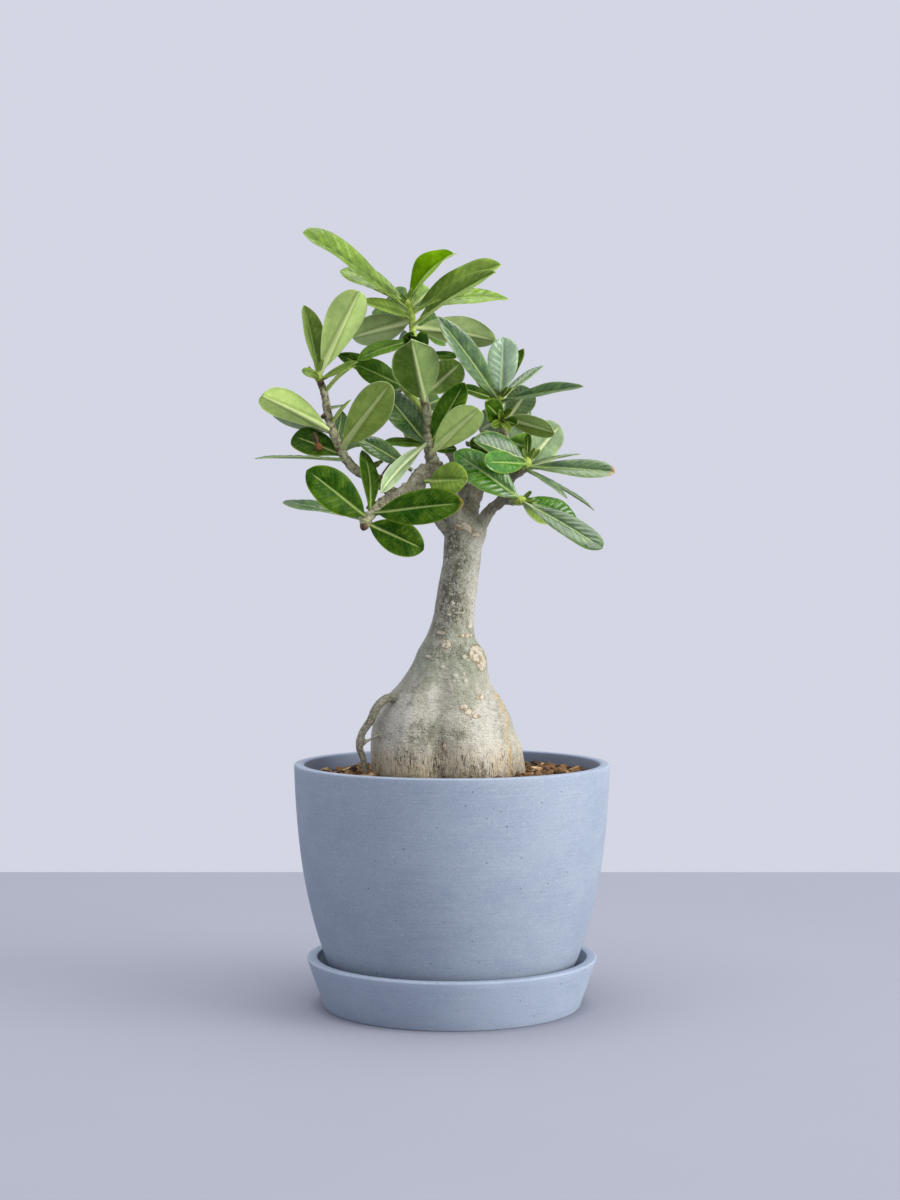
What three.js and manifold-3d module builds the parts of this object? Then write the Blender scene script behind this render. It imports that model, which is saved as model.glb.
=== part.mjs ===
// A desert rose in a round pot on a matching saucer.
// Millimetres, +Z up. The origin is the middle of the saucer's underside, and the plant's front faces -Y.

import * as THREE from "three";
import { mergeVertices } from "three/addons/utils/BufferGeometryUtils.js";
import Module from "manifold-3d";

const wasm = await Module();
wasm.setup();

// Driving dimensions
const REST_GAP = 0.3; // between pieces that rest on or grow from each other
const HOLE_CLEARANCE = 0.4; // between the roots and the hole in the soil
const ROUND_SIDES = 40; // sides of the pot, the saucer and the soil

const SAUCER_HEIGHT = 23.5;
const SAUCER_TOP_RADIUS = 68.9;
const SAUCER_BASE_RADIUS = 61.2;
const SAUCER_WALL = 5;
const SAUCER_FLOOR = 5;
const SAUCER_EDGE = 0.8; // rounding of its corners
const SAUCER_TAPER = 1.2; // how much thicker the wall is at its foot
const SAUCER_COVE = 2; // height of the slope between floor and wall

const POT_TOP = 115;
const POT_WALL = 4.8;
const POT_FLOOR = 6;
const POT_FOOT_RADIUS = 50;
const POT_EDGE = 0.8; // rounding of the rim's corners
const POT_FOOT_SLOPE = [3, 1.6]; // how far the edge of the foot goes out, and up
const DRAIN_RADIUS = 6;
// Outer radius and height above the table, from the foot to the rim
const POT_OUTLINE = [
  [54.8, 10],
  [60, 22.8],
  [64.9, 37.5],
  [68.7, 53.2],
  [71.4, 68.5],
  [73.2, 84],
  [74.3, 98.7],
];
const POT_RIM_RADIUS = 75;

const SOIL_LEVEL = 108.5;
const SOIL_TILT = 0.012; // rise of the soil to the right, for each mm
// Where the soil is banked up or lower: x, y, rise, spread
const SOIL_BANKS = [
  [-50, -4, 4, 11.4],
  [-66, -4, -6, 10],
];
const SOIL_RINGS = 10;
const SOIL_EDGE_FLARE = 0.4; // how much wider the top edge is than the last row of the pot's inside
const CLOD_HEIGHT = 1.5;
const CLOD_AT_WALL = 0.3; // share of the clods' height that is left at the wall
const CLOD_FADE = 6; // distance from the wall over which they gain their full height
const SOIL_SEED = 41;

const LIMB_SIDES = 8;
const STEM_SIDES = 6;
const LIMB_STEPS = 1.4; // rings for each point of a limb's path

const LEAF_THICKNESS = 0.9;
const PETIOLE_WIDTH = 1.8;
const PETIOLE_SHARE = 0.1; // of the leaf's length
const PETIOLE_SINK = 1.2; // how far a leaf's root goes past the stem's middle
const PETIOLE_SINK_SHARE = 0.6; // and no further than this share of the stem's radius
const WAVE_HEIGHT = 0.035; // of the waves along a leaf's edges, as a share of its width
const WAVE_LENGTH = 0.7; // of a leaf's length
const WAVE_SHIFT = 0.27; // of a wave, between one leaf and the next

// Colours
const COLOUR = {
  pot: 0x8c98b0,
  soil: 0x6a5544,
  bark: 0xa3977f,
  youngLeaf: 0x8fb53c,
  leaf: 0x4f7d38,
  greyLeaf: 0x6d8b63,
};

// The swollen base and the trunk that grows from it: height, middle in x, half width, half depth
const CAUDEX = [
  [82, -2, 13, 12],
  [86, -2, 22, 21],
  [95, -1.9, 32.4, 30],
  [112, -1.9, 37.2, 34.6],
  [124, -2.6, 36.2, 33.4],
  [130, -4.2, 34.4, 32],
  [136, -4.5, 33, 30.5],
  [141, -4.5, 30.3, 28],
  [147, -4, 26.6, 25],
  [152.5, -3.3, 22, 21],
  [158, -2.1, 19.4, 18.5],
  [164, -0.7, 17.4, 16.5],
  [168, -0.4, 16, 15],
  [174, -1, 12, 11.8],
  [178, -0.2, 10.9, 10.8],
  [184, 1, 10, 10],
  [201, 3.1, 8.9, 9],
  [212, 4.8, 9, 9],
  [218, 5.3, 9.1, 9],
  [223, 6.4, 10, 9.2],
  [227, 7.2, 9.6, 8.6],
  [231, 7.6, 7.6, 6.8],
  [233, 7.8, 4.6, 4.2],
];
const CAUDEX_SIDES = 24;
// Grooves between the lobes of the base: direction from +X and half width in degrees, depth as a share
const GROOVES = [
  [-97, 20, 0.12],
  [-38, 16, 0.07],
  [-150, 20, 0.05],
  [28, 20, 0.07],
  [88, 24, 0.1],
  [150, 18, 0.07],
];
const GROOVES_FROM = 96;
const GROOVES_TO = 176;
const GROOVE_RISE = 12; // height over which they deepen at their lower end
const GROOVE_FALL = 30; // and at their upper end
const BURIED_BELOW = 131; // rows of the base below this are in the hole in the soil

// A root that leaves the base in the air and goes down into the soil: x, y, z, radius
const AIR_ROOT = [
  [-24, -10, 146, 2.6],
  [-29, -12.5, 147, 2.4],
  [-33, -13.5, 145, 2.2],
  [-35.8, -14, 141.5, 2.1],
  [-38.3, -14, 136, 2],
  [-42, -14, 130.5, 2],
  [-43.5, -14, 124.5, 2],
  [-41.5, -13, 117, 1.9],
  [-40.5, -12, 104, 1.5],
];
const AIR_ROOT_BURIED_FROM = 5; // the point of the list above where its hole in the soil starts
const AIR_ROOT_HOLE_END = [-40.4, -11.9, 103.5, 1.5];

// Woody limbs with no leaves of their own: x, y, z, radius
const BARE_LIMBS = [
  [
    [-0.5, 0, 224, 3.4],
    [-4.5, -2, 228.5, 3],
    [-7, -3.5, 231, 2.2],
  ],
  [
    [15.5, 9, 261.5, 1.8],
    [11, 5, 265, 1.3],
    [7, 2, 267.5, 1],
  ],
];

// Each branch runs from the trunk to its tip: x, y, z, radius.
// wood counts the points that are old wood and one piece with the trunk. The rest is the young stem that
// carries the leaves. A leaf is: place along the branch (counted in its points), tip x, y, z, width, turn,
// bend, fold. turn is 0 where the upper face looks to the front and 180 where the underside does, bend is
// how far the blade arches along its length, and fold how far its halves are raised, all in degrees.
const BRANCHES = [
  {
    "name": "shoot_centre", "colour": "leaf", "wood": 4,
    "path": [
      [5, -2, 226, 5], [-1, -6, 240, 4.8], [-5.5, -10, 250, 4.5], [-9.8, -12.6, 260, 3],
      [-10.5, -12, 268, 2.6], [-11, -11, 277.5, 2.4], [-12.5, -10, 284.5, 2.2], [-14, -8, 291.5, 2],
      [-14.6, -7.5, 295.5, 1.9], [-16.5, -4, 307.5, 1.8], [-18.3, -2.1, 317.2, 1.7],
    ],
    "leaves": [
      [9.75, -44, -14, 305, 13, 50, 25, 25],
      [9.7, -11, -26, 311, 12, 0, 30, 40],
      [9.0, 2, -6, 307, 11, -60, 20, 20],
      [9.5, -26, 44, 315, 19, 0, 20, 20],
      [6.0, -18.5, -42, 312, 26, 186, 20, 50],
      [6.6, 4, 2, 305, 16, 180, 15, 15],
      [3.5, -32, -2, 291, 17, 10, 15, 45],
      [3.65, -33, -6, 267, 8, 50, 15, 20],
      [3.55, 6, -18, 294, 14, -20, 15, 20],
      [3.15, 12, -45, 280, 18, -165, 15, 50],
      [3.9, -32, -52, 242, 9, 150, 30, 20],
      [3.4, 2, -8, 264, 6, -30, 10, 10],
      [4.5, -3, 35, 278, 19, 0, 20, 20],
    ],
  },
  {
    "name": "shoot_top", "colour": "youngLeaf", "wood": 0,
    "path": [
      [-18.35, -2, 317.5, 1.7], [-18.6, -1.6, 321, 1.65], [-19, -1, 327, 1.6], [-20.5, 0, 333.5, 1.3],
    ],
    "leaves": [
      [2.25, -69.5, -12, 365, 23, 56, 8, 50],
      [2.8, -52.5, 20, 352, 16, 40, 15, 30],
      [1.6, -43, -12, 332, 12, 60, 20, 60],
      [1.6, -47, -2, 317, 17, 165, 25, 45],
      [2.85, 1, 4, 357, 23, -45, 60, 60],
      [1.2, 20, -28, 344, 17, -48, 15, 60],
      [2.1, 23, -10, 350, 20, -45, 20, 50],
      [2.4, 27, 20, 337.6, 13, -50, 30, 30],
      [1.1, 21, 4, 316, 17, -150, 25, 45],
      [2.5, -10, 50, 345, 20, 0, 20, 20],
      [2.0, -33, 48, 340, 22, 0, 20, 20],
      [1.0, -6, 46, 325, 20, 0, 20, 20],
    ],
  },
  {
    "name": "shoot_left_low", "colour": "leaf", "wood": 7,
    "path": [
      [-6, -10, 249, 4.4], [-10.5, -15.5, 253, 4.2], [-14.5, -22, 250.6, 4.2], [-18, -28, 245, 4.2],
      [-25, -33, 241, 3.4], [-29, -36, 239, 2.8], [-31.5, -37, 237.5, 2.6], [-34.5, -39, 234.5, 2.4],
      [-38.5, -41, 230.5, 2.3], [-39.5, -42, 228, 1.9],
    ],
    "leaves": [
      [8.0, -65, -56, 252, 19, 15, 15, 15],
      [8.3, -78, -26, 238.5, 11, 60, 10, 20],
      [7.8, -42, -12, 263, 10, 35, 40, 20],
      [7.5, 5, -60, 237, 18, -20, 15, 15],
      [8.8, -13, -38, 216.5, 17, -10, 15, 20],
      [8.2, -54, 10, 235, 16, 90, 15, 20],
    ],
  },
  {
    "name": "shoot_left", "colour": "leaf", "wood": 2,
    "path": [
      [-24, -31, 241, 2.8], [-28.5, -27, 243.5, 2.6], [-34.3, -22, 247.6, 2.5], [-40.5, -18, 251.3, 2.4],
      [-45.4, -15.5, 254, 2.3], [-48.6, -14, 257.5, 2.3], [-51.2, -13, 261.5, 2.2], [-54.5, -12, 268, 2.1],
      [-56.5, -11.5, 274, 2.1], [-58, -11, 279, 2], [-59, -10.5, 284.6, 1.9], [-60, -10, 290.1, 1.8],
      [-62, -9.5, 295.6, 1.7], [-63, -9, 298.6, 1.3],
    ],
    "leaves": [
      [12.9, -70, -2, 332, 15, 35, 10, 70],
      [12.5, -43, -22, 336, 20, 200, 15, 55],
      [12.3, -70, -16, 300, 5, 30, 60, 10],
      [12.1, -44, -16, 304, 8, -60, 10, 20],
      [10.9, -45, -18, 302, 10, -85, 30, 20],
      [7.6, -87, -34, 287, 18, 160, 15, 50],
      [7.4, -86, 2, 282, 14, 130, 15, 20],
      [6.9, -52, -2, 282, 8, 30, 10, 20],
      [8.3, -47, -20, 286, 7, -80, 10, 20],
      [9.6, -50.5, 0, 285, 4.5, -70, 10, 20],
      [5.6, -75, -4, 270, 16, 30, 15, 20],
      [5.2, -90, -38, 258, 12, 88, 10, 10],
      [6.3, -28, -50, 291, 21, 180, -10, 50],
      [7.7, -75, 32, 274, 14, 40, 15, 20],
      [6.0, -49, 30, 270, 16, 0, 15, 20],
    ],
  },
  {
    "name": "shoot_back_left", "colour": "leaf", "wood": 4,
    "path": [
      [8.5, 3, 232, 4.2], [5, 14, 248, 3.8], [1, 22, 260, 3], [-2.5, 25, 266.5, 2.4], [-9.5, 25, 277, 2.1],
      [-17.5, 22, 288, 1.9], [-23, 18, 295.5, 1.5],
    ],
    "leaves": [
      [5.9, -55, 10, 310, 12, 40, 15, 20],
      [5.85, -47, 2, 305, 14, 20, 15, 20],
      [6.0, -42, 16, 306, 8, 40, 15, 20],
      [5.9, -12, 46, 304, 20, 0, 15, 20],
      [5.9, -34, 60, 294, 20, 0, 15, 20],
      [5.0, -29, 62, 279, 20, 180, 15, 20],
      [4.7, -6, 60, 292, 20, 0, 15, 20],
      [4.2, -23, 58, 272, 20, 180, 15, 20],
    ],
  },
  {
    "name": "shoot_right_upper", "colour": "greyLeaf", "wood": 6,
    "path": [
      [6.2, 0, 224, 5.2], [9.9, 3, 240, 4.3], [13.5, 8, 250, 4.4], [17.5, 11, 259.5, 3.8], [22, 12, 268, 3],
      [24.5, 10.5, 273, 2.3], [23.5, 7, 280, 1.9], [22.5, 3, 285.5, 1.8], [23, 1, 288.5, 1.4],
    ],
    "leaves": [
      [7.2, -7, -36, 323, 14, 25, 15, 40],
      [6.8, 10, -2, 299, 8, 60, 10, 20],
      [7.6, 24, -10, 316, 17, 20, 15, 20],
      [7.8, 44, 16, 305, 8, -55, 15, 20],
      [7.4, 60, -36, 291, 10, -55, 5, 50],
      [5.5, 37, 2, 293, 15, 180, 15, 15],
      [5.7, 15.5, -16, 285, 12, 15, 15, 20],
      [5.9, 48, -14, 271, 11, -150, 15, 20],
    ],
  },
  {
    "name": "shoot_back_right", "colour": "greyLeaf", "wood": 3,
    "path": [
      [15.5, 10, 255, 3.6], [20, 19, 261.5, 2.9], [23.5, 26, 267, 2.3], [24.5, 30, 275, 2],
      [23.5, 30, 284, 1.8], [21.5, 28, 290.5, 1.5],
    ],
    "leaves": [
      [4.8, 3, 22, 295, 10, 50, 15, 20],
      [4.95, 35, 24, 314, 10, -40, 15, 20],
      [4.6, 29, 68, 295, 18, 0, 15, 20],
      [4.0, 40, 66, 285, 18, 0, 15, 20],
      [3.6, 14, 66, 277, 18, 180, 15, 20],
      [3.1, 32, 64, 267, 18, 180, 15, 20],
      [2.4, 44, 50, 266, 16, 0, 15, 20],
      [2.4, 9, 52, 256, 16, 180, 15, 20],
    ],
  },
  {
    "name": "shoot_right_mid", "colour": "greyLeaf", "wood": 4,
    "path": [
      [14, 8, 251, 3], [23, 2, 249, 2.6], [29.5, -4, 251.5, 2.4], [32.5, -6, 253.5, 2.1],
      [35, -7, 255.5, 1.9], [35.5, -7.5, 258.5, 1.4],
    ],
    "leaves": [
      [4.0, 52, 16, 276, 18, -160, 15, 20],
      [4.0, 61, 6, 262, 10, -85, 15, 20],
      [3.8, 75, -28, 252, 12, -35, 15, 30],
      [3.6, 67, -8, 235, 12, -85, 15, 20],
      [3.6, 53, -32, 240, 6, -60, 15, 20],
      [4.3, 15, -42, 256, 12, 20, 15, 20],
      [4.8, 10, -22, 267, 18, 35, 15, 50],
      [4.9, 36, -4, 271, 4, 0, 10, 10],
      [4.2, 50, 40, 270, 15, 180, 15, 20],
    ],
  },
  {
    "name": "shoot_right_low", "colour": "leaf", "wood": 4,
    "path": [
      [12, -1, 225.5, 3.6], [17.8, -8.5, 234.8, 2.9], [23.8, -16, 239.2, 2.6], [28, -20.5, 239.4, 2.3],
      [31, -23, 239, 2], [33, -24, 239.5, 1.5],
    ],
    "leaves": [
      [4.1, 58, -18, 231, 14, -40, 15, 20],
      [4.2, 68, -48, 217, 13, -30, 15, 20],
      [4.6, 1, -30, 261, 18, 20, 15, 20],
      [4.3, 52, 20, 232, 13, 180, 15, 20],
    ],
  },
];

// Leaves that sit singly on the old wood: name, where the stalk starts, then as above
const SINGLE_LEAVES = [
  ["leaf_low_centre", [-12.2, -27.9, 247.8], [7, -42, 248, 18, -20, 15, 20]],
  ["leaf_left_centre", [-18.5, -20.6, 253.2], [-44.5, -17, 269, 11, 30, 15, 20]],
];

const FRONT = new THREE.Vector3(0, -1, 0);

// A linear congruential generator, so that every build draws the same numbers
function seededRandom(seed) {
  const [factor, step, range] = [1664525, 1013904223, 2 ** 32];
  let state = seed;
  return () => {
    state = (state * factor + step) % range;
    return state / range;
  };
}

function toSolid(geometry) {
  const bare = geometry.clone();
  bare.deleteAttribute("normal");
  bare.deleteAttribute("uv");
  const merged = mergeVertices(bare);
  return new wasm.Manifold(new wasm.Mesh({
    numProp: 3,
    vertProperties: new Float32Array(merged.attributes.position.array),
    triVerts: new Uint32Array(merged.index.array),
  }));
}

function toGeometry(solid) {
  const mesh = solid.getMesh();
  const geometry = new THREE.BufferGeometry();
  geometry.setAttribute("position", new THREE.BufferAttribute(mesh.vertProperties, 3));
  geometry.setIndex(new THREE.BufferAttribute(mesh.triVerts, 1));
  geometry.computeVertexNormals();
  return geometry;
}

function joined(solids) {
  return solids.reduce((whole, next) => whole.add(next));
}

// Moves every vertex of a geometry to where place(x, y, z) says.
function reshaped(geometry, place) {
  const position = geometry.attributes.position;
  for (let i = 0; i < position.count; i += 1) {
    const moved = place(position.getX(i), position.getY(i), position.getZ(i));
    position.setXYZ(i, moved.x, moved.y, moved.z);
  }
  return geometry;
}

// A turned piece: its profile is a closed list of [radius, height] about the Z axis.
function turned(profile, sides) {
  const points = profile.map(([radius, height]) => new THREE.Vector2(radius, height));
  const lathe = new THREE.LatheGeometry(points, sides);
  return lathe.rotateX(Math.PI / 2);
}

function saucerGeometry() {
  const innerTop = SAUCER_TOP_RADIUS - SAUCER_WALL;
  const innerFloor = SAUCER_BASE_RADIUS - SAUCER_WALL - SAUCER_TAPER;
  return turned([
    [0, 0],
    [SAUCER_BASE_RADIUS - SAUCER_EDGE, 0],
    [SAUCER_BASE_RADIUS, SAUCER_EDGE],
    [SAUCER_TOP_RADIUS, SAUCER_HEIGHT - SAUCER_EDGE],
    [SAUCER_TOP_RADIUS - SAUCER_EDGE, SAUCER_HEIGHT],
    [innerTop + SAUCER_EDGE, SAUCER_HEIGHT],
    [innerTop, SAUCER_HEIGHT - SAUCER_EDGE],
    [innerFloor + SAUCER_COVE / 2, SAUCER_FLOOR + SAUCER_COVE],
    [innerFloor - SAUCER_COVE / 2, SAUCER_FLOOR],
    [0, SAUCER_FLOOR],
  ], ROUND_SIDES);
}

const POT_BASE = SAUCER_FLOOR + REST_GAP;
const POT_INSIDE_FLOOR = POT_BASE + POT_FLOOR;

// The pot's inside, from the floor's edge up to the rim: the outline moved in by the wall.
function potInside(shrink) {
  const wall = POT_OUTLINE.slice(1).map(([radius, height]) => [radius - POT_WALL - shrink, height]);
  return [[POT_FOOT_RADIUS - POT_WALL - shrink, POT_INSIDE_FLOOR + shrink], ...wall];
}

function potGeometry() {
  const inside = potInside(0).reverse();
  const [footOut, footUp] = POT_FOOT_SLOPE;
  return turned([
    [DRAIN_RADIUS, POT_BASE],
    [POT_FOOT_RADIUS, POT_BASE],
    [POT_FOOT_RADIUS + footOut, POT_BASE + footUp],
    ...POT_OUTLINE,
    [POT_RIM_RADIUS, POT_TOP - POT_EDGE],
    [POT_RIM_RADIUS - POT_EDGE, POT_TOP],
    [POT_RIM_RADIUS - POT_WALL + POT_EDGE, POT_TOP],
    [POT_RIM_RADIUS - POT_WALL, POT_TOP - POT_EDGE],
    ...inside,
    [DRAIN_RADIUS, POT_INSIDE_FLOOR],
    [DRAIN_RADIUS, POT_BASE],
  ], ROUND_SIDES);
}

// Height of the soil: banked up to the left of the plant, lower by the wall on the far left.
function soilHeight(x, y) {
  const banks = SOIL_BANKS.map(([midX, midY, rise, spread]) => {
    const away = Math.hypot(x - midX, y - midY) / spread;
    return rise * Math.exp(-away * away / 2);
  });
  return banks.reduce((sum, bank) => sum + bank, SOIL_LEVEL + SOIL_TILT * x);
}

// A lobed, tapering loft through the rows of the swollen base; grow widens it all round.
function caudexGeometry(rows, grow) {
  const body = new THREE.CylinderGeometry(1, 1, 1, CAUDEX_SIDES, rows.length - 1);
  return reshaped(body.rotateX(Math.PI / 2), (x, y, z) => {
    const [height, middle, halfWidth, halfDepth] = rows[Math.round((z + 0.5) * (rows.length - 1))];
    const ends = Math.min((GROOVES_TO - height) / GROOVE_FALL, (height - GROOVES_FROM) / GROOVE_RISE);
    const fade = THREE.MathUtils.clamp(ends, 0, 1);
    const direction = THREE.MathUtils.radToDeg(Math.atan2(y, x));
    let share = 1;
    for (const [groove, width, depth] of GROOVES) {
      const away = Math.abs(((direction - groove + 540) % 360) - 180) / width;
      share -= fade * depth * Math.exp(-away * away);
    }
    return new THREE.Vector3(middle + x * (halfWidth * share + grow), y * (halfDepth * share + grow), height);
  });
}

function curveOf(path) {
  return new THREE.CatmullRomCurve3(path.map(([x, y, z]) => new THREE.Vector3(x, y, z)));
}

function radiusAt(path, place) {
  const low = Math.min(Math.floor(place), path.length - 2);
  return THREE.MathUtils.lerp(path[low][3], path[low + 1][3], place - low);
}

// A limb along part of a path, from one place to another, both counted in the path's points.
function limbGeometry(path, from, to, sides, grow = 0) {
  const curve = curveOf(path);
  const steps = Math.max(2, Math.ceil((to - from) * LIMB_STEPS));
  const tube = new THREE.CylinderGeometry(1, 1, 1, sides, steps);
  // Square to the line from the limb's start to its end, and so never along the limb
  const square = curve.getPoint(1).sub(curve.getPoint(0)).cross(FRONT);
  return reshaped(tube, (x, y, z) => {
    const place = from + (y + 0.5) * (to - from);
    const share = THREE.MathUtils.clamp(place / (path.length - 1), 0, 1);
    const along = curve.getTangent(share);
    const side = new THREE.Vector3().crossVectors(square, along).normalize();
    const other = new THREE.Vector3().crossVectors(along, side);
    const radius = radiusAt(path, place) + grow;
    return curve.getPoint(share).addScaledVector(side, z * radius).addScaledVector(other, x * radius);
  });
}

// Stations along a leaf, as shares of the blade; a narrow leaf has fewer
const BLADE_STATIONS = [0, 0.2, 0.42, 0.64, 0.84, 1];
const NARROW_STATIONS = [0, 0.34, 0.72, 1];
const NARROW_WIDTH = 9.5;

// Powers of the outline near the stalk and near the tip, and where the outline would close
const OUTLINE_RISE = 0.95;
const OUTLINE_FALL = 0.45;
const OUTLINE_END = 1.01;
const OUTLINE_SCALE = 2.24; // brings the widest place to 1

// Share of the greatest half width: widest past the middle, then drawn in to a blunt tip
function bladeWidth(share) {
  return OUTLINE_SCALE * share ** OUTLINE_RISE * (OUTLINE_END - share) ** OUTLINE_FALL;
}

// One leaf as a thin solid: a stalk, then a blade that arches and folds about its midrib.
function leafGeometry(base, tip, width, turn, bend, fold, index) {
  const chord = tip.clone().sub(base);
  const length = chord.length();
  const along = chord.clone().normalize();
  const front = FRONT.clone().addScaledVector(along, along.y).normalize();
  const beside = new THREE.Vector3().crossVectors(along, front);
  const angle = THREE.MathUtils.degToRad(turn);
  const upper = front.clone().multiplyScalar(Math.cos(angle)).addScaledVector(beside, Math.sin(angle));
  const across = new THREE.Vector3().crossVectors(along, upper);
  const rise = length * THREE.MathUtils.degToRad(bend) / 8;
  const raise = THREE.MathUtils.degToRad(fold) / 2;
  const stations = width < NARROW_WIDTH ? NARROW_STATIONS : BLADE_STATIONS;
  const shares = [0, ...stations.map((share) => PETIOLE_SHARE + share * (1 - PETIOLE_SHARE))];
  const points = [];
  shares.forEach((share, row) => {
    const blade = row === 0 ? 0 : stations[row - 1];
    const half = Math.max(PETIOLE_WIDTH / 2, width / 2 * bladeWidth(blade));
    const slope = 4 * rise * (1 - 2 * share) / length;
    const normal = upper.clone().addScaledVector(along, -slope).normalize();
    const arch = 4 * rise * share * (1 - share);
    const middle = base.clone().addScaledVector(chord, share).addScaledVector(upper, arch);
    const thickness = row < 2 ? PETIOLE_WIDTH : LEAF_THICKNESS;
    for (const side of [-1, 0, 1]) {
      const phase = 2 * Math.PI * (share / WAVE_LENGTH + index * WAVE_SHIFT) + side;
      const wave = side * WAVE_HEIGHT * width * blade * Math.sin(phase);
      const lift = Math.abs(side) * (half * Math.sin(raise) + wave);
      const at = middle.clone().addScaledVector(across, side * half * Math.cos(raise));
      at.addScaledVector(normal, lift);
      points.push(at.clone().addScaledVector(normal, thickness / 2));
      points.push(at.clone().addScaledVector(normal, -thickness / 2));
    }
  });
  const rows = shares.length;
  const top = (row, column) => (row * 3 + column) * 2;
  const under = (row, column) => top(row, column) + 1;
  const faces = [];
  const quad = (a, b, c, d) => faces.push(a, b, c, a, c, d);
  for (let row = 0; row < rows - 1; row += 1) {
    for (let column = 0; column < 2; column += 1) {
      quad(top(row, column), top(row, column + 1), top(row + 1, column + 1), top(row + 1, column));
      faces.push(under(row, column), under(row + 1, column + 1), under(row, column + 1));
      faces.push(under(row, column), under(row + 1, column), under(row + 1, column + 1));
    }
    quad(top(row, 0), top(row + 1, 0), under(row + 1, 0), under(row, 0));
    quad(top(row, 2), under(row, 2), under(row + 1, 2), top(row + 1, 2));
  }
  for (let column = 0; column < 2; column += 1) {
    quad(top(0, column), under(0, column), under(0, column + 1), top(0, column + 1));
    const last = rows - 1;
    quad(top(last, column), top(last, column + 1), under(last, column + 1), under(last, column));
  }
  const geometry = new THREE.BufferGeometry().setFromPoints(points);
  geometry.setIndex(faces);
  return geometry;
}

// A leaf on a branch starts a little past the middle of the stem, so that its root is well sunk.
function leafOnBranch(path, row, index) {
  const [place, x, y, z, width, turn, bend, fold] = row;
  const tip = new THREE.Vector3(x, y, z);
  const stem = curveOf(path).getPoint(place / (path.length - 1));
  const outward = tip.clone().sub(stem).normalize();
  const sink = Math.min(PETIOLE_SINK, PETIOLE_SINK_SHARE * radiusAt(path, place));
  const base = stem.addScaledVector(outward, -sink);
  return leafGeometry(base, tip, width, turn, bend, fold, index);
}

// The share of a path step that covers half the gap between old wood and young stem
function halfGap(path, place) {
  const curve = curveOf(path);
  const share = place / (path.length - 1);
  const step = 0.001;
  const speed = curve.getPoint(share).distanceTo(curve.getPoint(share - step)) / (step * (path.length - 1));
  return REST_GAP / 2 / speed;
}

function trunkSolid() {
  const parts = [toSolid(caudexGeometry(CAUDEX, 0))];
  for (const path of [AIR_ROOT, ...BARE_LIMBS]) {
    parts.push(toSolid(limbGeometry(path, 0, path.length - 1, STEM_SIDES)));
  }
  for (const { path, wood } of BRANCHES.filter((branch) => branch.wood > 0)) {
    const end = wood - 1 - halfGap(path, wood - 1);
    parts.push(toSolid(limbGeometry(path, 0, end, LIMB_SIDES)));
  }
  return joined(parts);
}

function shootSolid({ path, wood, leaves }) {
  const start = wood > 0 ? wood - 1 + halfGap(path, wood - 1) : 0;
  const parts = [toSolid(limbGeometry(path, start, path.length - 1, STEM_SIDES))];
  leaves.forEach((row, index) => parts.push(toSolid(leafOnBranch(path, row, index))));
  return joined(parts);
}

function soilSolid() {
  const random = seededRandom(SOIL_SEED);
  const side = potInside(REST_GAP);
  const [edgeRadius, edgeHeight] = side[side.length - 1];
  const surface = [[edgeRadius + SOIL_EDGE_FLARE, SOIL_LEVEL]];
  for (let ring = 1; ring <= SOIL_RINGS; ring += 1) {
    surface.push([edgeRadius * (1 - ring / SOIL_RINGS), SOIL_LEVEL]);
  }
  const body = turned([[0, POT_INSIDE_FLOOR + REST_GAP], ...side, ...surface], ROUND_SIDES);
  const heights = new Map();
  reshaped(body, (x, y, z) => {
    if (z < (edgeHeight + SOIL_LEVEL) / 2) {
      return new THREE.Vector3(x, y, z);
    }
    // Vertices at one place share one height, which keeps the surface closed
    const key = `${x.toFixed(2)} ${y.toFixed(2)}`.replaceAll("-0.00", "0.00");
    if (!heights.has(key)) {
      const loose = Math.min(1, (edgeRadius - Math.hypot(x, y)) / CLOD_FADE + CLOD_AT_WALL);
      heights.set(key, soilHeight(x, y) + CLOD_HEIGHT * loose * (random() * 2 - 1));
    }
    return new THREE.Vector3(x, y, heights.get(key));
  });
  const buried = CAUDEX.filter(([height]) => height < BURIED_BELOW);
  buried[0] = [buried[0][0] - REST_GAP, ...buried[0].slice(1)];
  const baseHole = caudexGeometry(buried, HOLE_CLEARANCE);
  const rootPath = [...AIR_ROOT, AIR_ROOT_HOLE_END];
  const rootHole = limbGeometry(rootPath, AIR_ROOT_BURIED_FROM, AIR_ROOT.length, STEM_SIDES, HOLE_CLEARANCE);
  return toSolid(body).subtract(toSolid(baseHole)).subtract(toSolid(rootHole));
}

const ROUGHNESS = { pot: 0.85, soil: 1, bark: 0.8, leaf: 0.45 };

function finish(color, roughness) {
  return new THREE.MeshStandardMaterial({ color, roughness, metalness: 0 });
}

const plant = new THREE.Group();

function addPiece(name, geometry, material) {
  const mesh = new THREE.Mesh(geometry, material);
  mesh.name = name;
  plant.add(mesh);
}

addPiece("saucer", saucerGeometry(), finish(COLOUR.pot, ROUGHNESS.pot));
addPiece("pot", potGeometry(), finish(COLOUR.pot, ROUGHNESS.pot));
addPiece("soil", toGeometry(soilSolid()), finish(COLOUR.soil, ROUGHNESS.soil));
addPiece("trunk", toGeometry(trunkSolid()), finish(COLOUR.bark, ROUGHNESS.bark));
for (const branch of BRANCHES) {
  addPiece(branch.name, toGeometry(shootSolid(branch)), finish(COLOUR[branch.colour], ROUGHNESS.leaf));
}
for (const [name, start, [x, y, z, width, turn, bend, fold]] of SINGLE_LEAVES) {
  const [base, tip] = [new THREE.Vector3(...start), new THREE.Vector3(x, y, z)];
  addPiece(name, leafGeometry(base, tip, width, turn, bend, fold, 0), finish(COLOUR.leaf, ROUGHNESS.leaf));
}

export default plant;
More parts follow.
